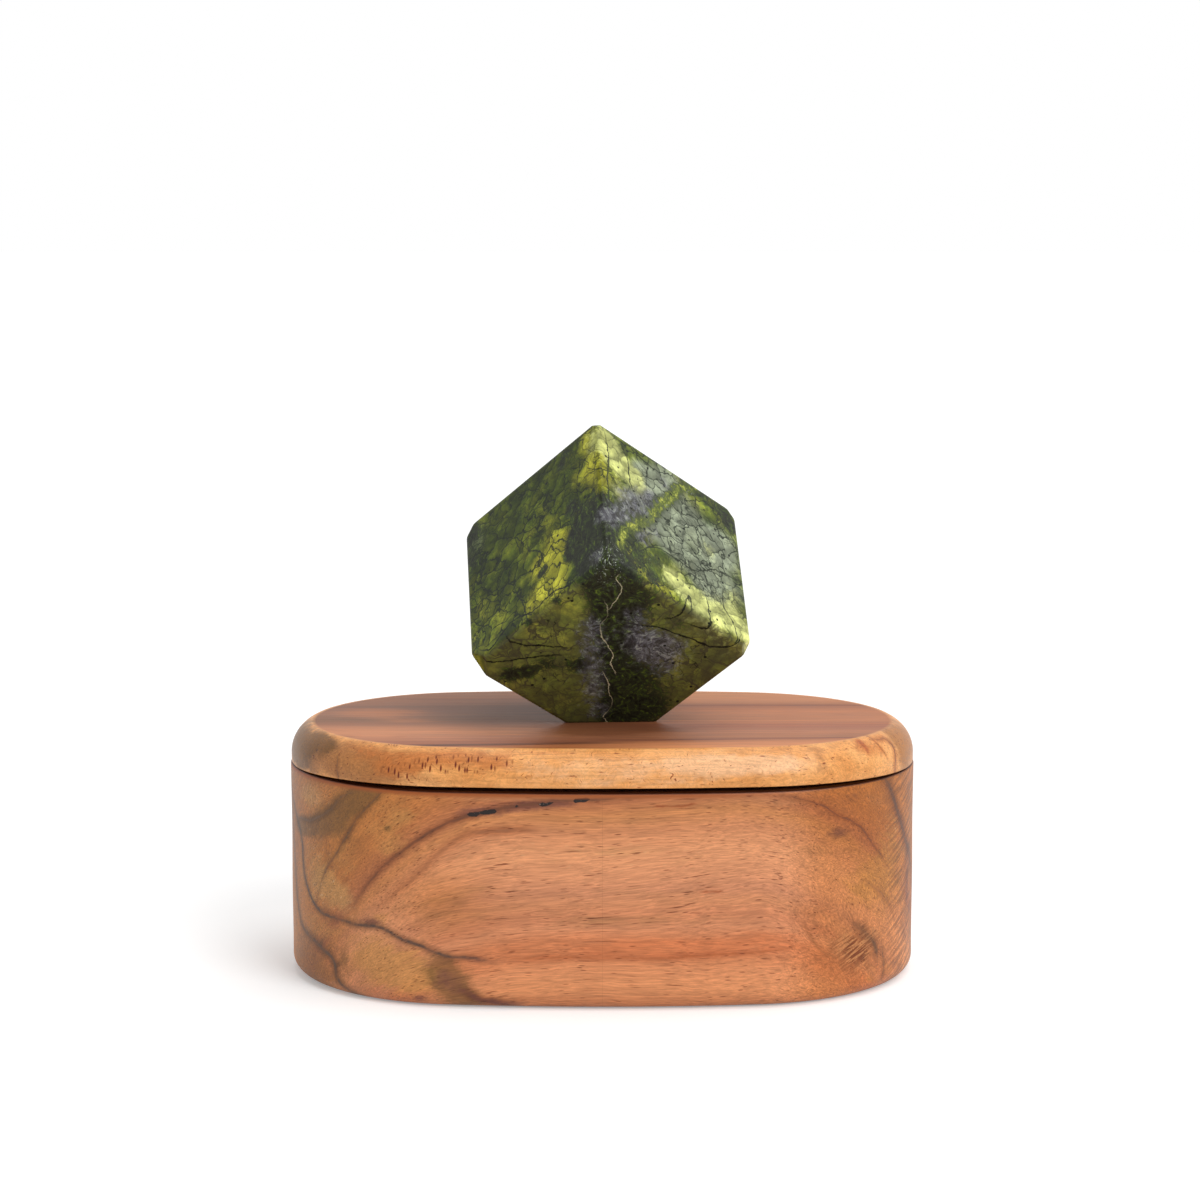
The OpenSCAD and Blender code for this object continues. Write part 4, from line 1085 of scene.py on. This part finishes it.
colour = stone_vein(colour, "moss_vein", "#2C3420", 3.4, 3.9, 0.25, 0.4)
colour = stone_vein(colour, "moss_vein", "#66722A", 2.2, 3.9, 0.36, 0.5)
colour = stone_vein(colour, "moss_vein", "#BCBE50", 1.4, 3.9, 0.49, 0.61)
for name in ("ridge_crack", "pale_crack", "third_crack", "long_arc", "ring", "corner_arc", "fold",
             "tree_crack", "side_crack"):
    colour = stone_vein(colour, name, "#262C1C", 0.34, 1.2)
for name in ("long_crack", "ring_end", "fold_end", "upper_left_crack", "lower_left_crack", "edge_crack"):
    colour = stone_vein(colour, name, "#11130C", 0.4, 1.35)
for name in ("first_cream", "second_cream", "third_cream"):
    colour = stone_vein(colour, name, "#BDB596", 0.18, 1.05, 0.36, 0.44)
for name, rays in (("right_star", 9), ("low_star", 11), ("left_star", 9)):
    star = painted(gem, name)
    angle = add(gem, "Math", {0: star[1], 1: star[0]}, operation="ARCTAN2")
    angle = add(gem, "Math", {0: warp, 1: 3.0, 2: angle}, operation="MULTIPLY_ADD")
    angle = add(gem, "Math", {0: angle, 1: rays / 2}, operation="MULTIPLY")
    ray = add(gem, "Math", {0: angle}, operation="SINE")
    ray = add(gem, "Math", {0: ray}, operation="ABSOLUTE")
    line = add(gem, "MapRange", {0: ray, 1: 0.04, 2: 0.18, 3: 0.85, 4: 0}, **smooth)
    near = add(gem, "MapRange", {0: star[2], 1: 0.5, 2: 1.1, 3: 1, 4: 0}, **smooth)
    line = add(gem, "Math", {0: line, 1: near}, operation="MULTIPLY")
    colour = add(gem, "MixRGB", {0: line, 1: colour, 2: linear("#1A1C10")})

# Small black dots, and pale glints near the front corner
dots = add(gem, "TexVoronoi", {"Vector": place, "Scale": 0.28})
dot_kind = add(gem, "SeparateXYZ", {"Vector": dots.outputs["Color"]})
dot = add(gem, "MapRange", {0: dots.outputs["Distance"], 1: 0.15, 2: 0.1}, **smooth)
dot_there = add(gem, "MapRange", {0: dot_kind.outputs[1], 1: 0.6, 2: 0.62})
dot = add(gem, "Math", {0: dot, 1: dot_there}, operation="MULTIPLY")
colour = add(gem, "MixRGB", {0: dot, 1: colour, 2: linear("#14160F")})
glint_share = add(gem, "Attribute", attribute_name="glints").outputs["Fac"]
glint = stretched(gem, warped, (0.9, 0.9, 1.6), 4, 0.7)
glint = add(gem, "MapRange", {0: glint, 1: 0.56, 2: 0.68}, **smooth)
glint = add(gem, "Math", {0: glint, 1: glint_share}, operation="MULTIPLY")
colour = add(gem, "MixRGB", {0: glint, 1: colour, 2: linear("#A8AEA0")})
bump = add(gem, "Bump", {"Height": net, "Strength": 0.12, "Distance": -0.0002})
surface = add(gem, "BsdfPrincipled", {"Base Color": colour, "Roughness": 0.3, "IOR": 1.56,
                                      "Specular IOR Level": 0.08, "Normal": bump})
add(gem, "OutputMaterial", {"Surface": surface})


# Stud, washer and nut
# A zinc-plated steel stud set in resin in the stone, with a washer and a nut in a socket under the lid. The
# plug hides them, so the turned shapes of the model stay and get a plated finish.

for part in ("stone_stud", "stud_washer", "stud_nut"):
    steel = material_on(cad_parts[part], "zinc_plated_steel_" + part)
    place = add(steel, "TexCoord").outputs["Object"]
    drawn_at = add(steel, "Mapping", {"Vector": place, "Scale": (600, 600, 4000)})
    drawn = add(steel, "TexNoise", {"Vector": drawn_at, "Scale": 1, "Detail": 3})
    colour = add(steel, "ValToRGB", {"Fac": drawn}, stops=[(0.3, "#A9ACAC"), (0.7, "#C9CBC8")])
    rough = add(steel, "MapRange", {"Value": drawn, 1: 0.3, 2: 0.7, 3: 0.25, 4: 0.4})
    bump = add(steel, "Bump", {"Height": drawn, "Strength": 0.15, "Distance": 0.0001})
    surface = add(steel, "BsdfPrincipled", {"Base Color": colour, "Roughness": rough, "Metallic": 1,
                                            "Normal": bump})
    add(steel, "OutputMaterial", {"Surface": surface})


# Stage
# A plain white floor and a pale sky. The camera stands 0.95 m in front, with a 100 mm lens.

floor_half = 6
floor_mesh = bpy.data.meshes.new("floor")
corners = [(x * floor_half, y * floor_half, 0) for x, y in ((-1, -1), (1, -1), (1, 1), (-1, 1))]
floor_mesh.from_pydata(corners, [], [(0, 1, 2, 3)])
floor = bpy.data.objects.new("floor", floor_mesh)
bpy.context.scene.collection.objects.link(floor)
paper = material_on(floor, "white_paper")
ray = add(paper, "LightPath").outputs
seen = add(paper, "Math", {0: ray["Is Camera Ray"], 1: ray["Is Glossy Ray"]}, operation="MAXIMUM")
glow = add(paper, "Math", {0: seen, 1: 0.28}, operation="MULTIPLY")
matt = add(paper, "BsdfDiffuse", {"Color": linear("#E8E8E8")})
lit = add(paper, "Emission", {"Color": (1, 1, 1, 1), "Strength": glow})
both = add(paper, "AddShader", {0: matt, 1: lit})
add(paper, "OutputMaterial", {"Surface": both})

# The sky is plain white where it is seen or mirrored, and about half as strong as a light.
world = bpy.data.worlds.new("pale_sky")
world.use_nodes = True
bpy.context.scene.world = world
world.node_tree.nodes.clear()
ray = add(world, "LightPath").outputs
seen = add(world, "Math", {0: ray["Is Camera Ray"], 1: ray["Is Glossy Ray"]}, operation="MAXIMUM")
seen = add(world, "Math", {0: seen, 1: ray["Is Transmission Ray"]}, operation="MAXIMUM")
strength = add(world, "MapRange", {"Value": seen, 3: 0.45, 4: 1.0})
sky = add(world, "Background", {"Color": (1, 1, 1, 1), "Strength": strength})
add(world, "OutputWorld", {"Surface": sky})


def soft_lamp(name, direction, strength, spread):
    """A far, broad lamp whose light comes from the given direction, as from a large diffuser."""
    lamp = bpy.data.lights.new(name, "SUN")
    lamp.energy = strength
    lamp.angle = np.radians(spread)
    holder = bpy.data.objects.new(name, lamp)
    holder.rotation_euler = Vector(direction).to_track_quat("Z", "Y").to_euler()
    bpy.context.scene.collection.objects.link(holder)


soft_lamp("overhead", (0.25, 0.05, 0.97), 1.2, 50)
soft_lamp("front_right", (0.5, -0.65, 0.57), 1.5, 35)

camera = bpy.data.cameras.new("camera")
camera.lens = 100
camera.sensor_width = 36
camera.sensor_fit = "HORIZONTAL"
eye = bpy.data.objects.new("camera", camera)
eye.location = (-0.00066, -0.95, 0.2391)
eye.rotation_euler = (np.radians(90 - 7.92), 0, 0)
bpy.context.scene.collection.objects.link(eye)
bpy.context.scene.camera = eye
bpy.context.scene.view_settings.view_transform = "Standard"
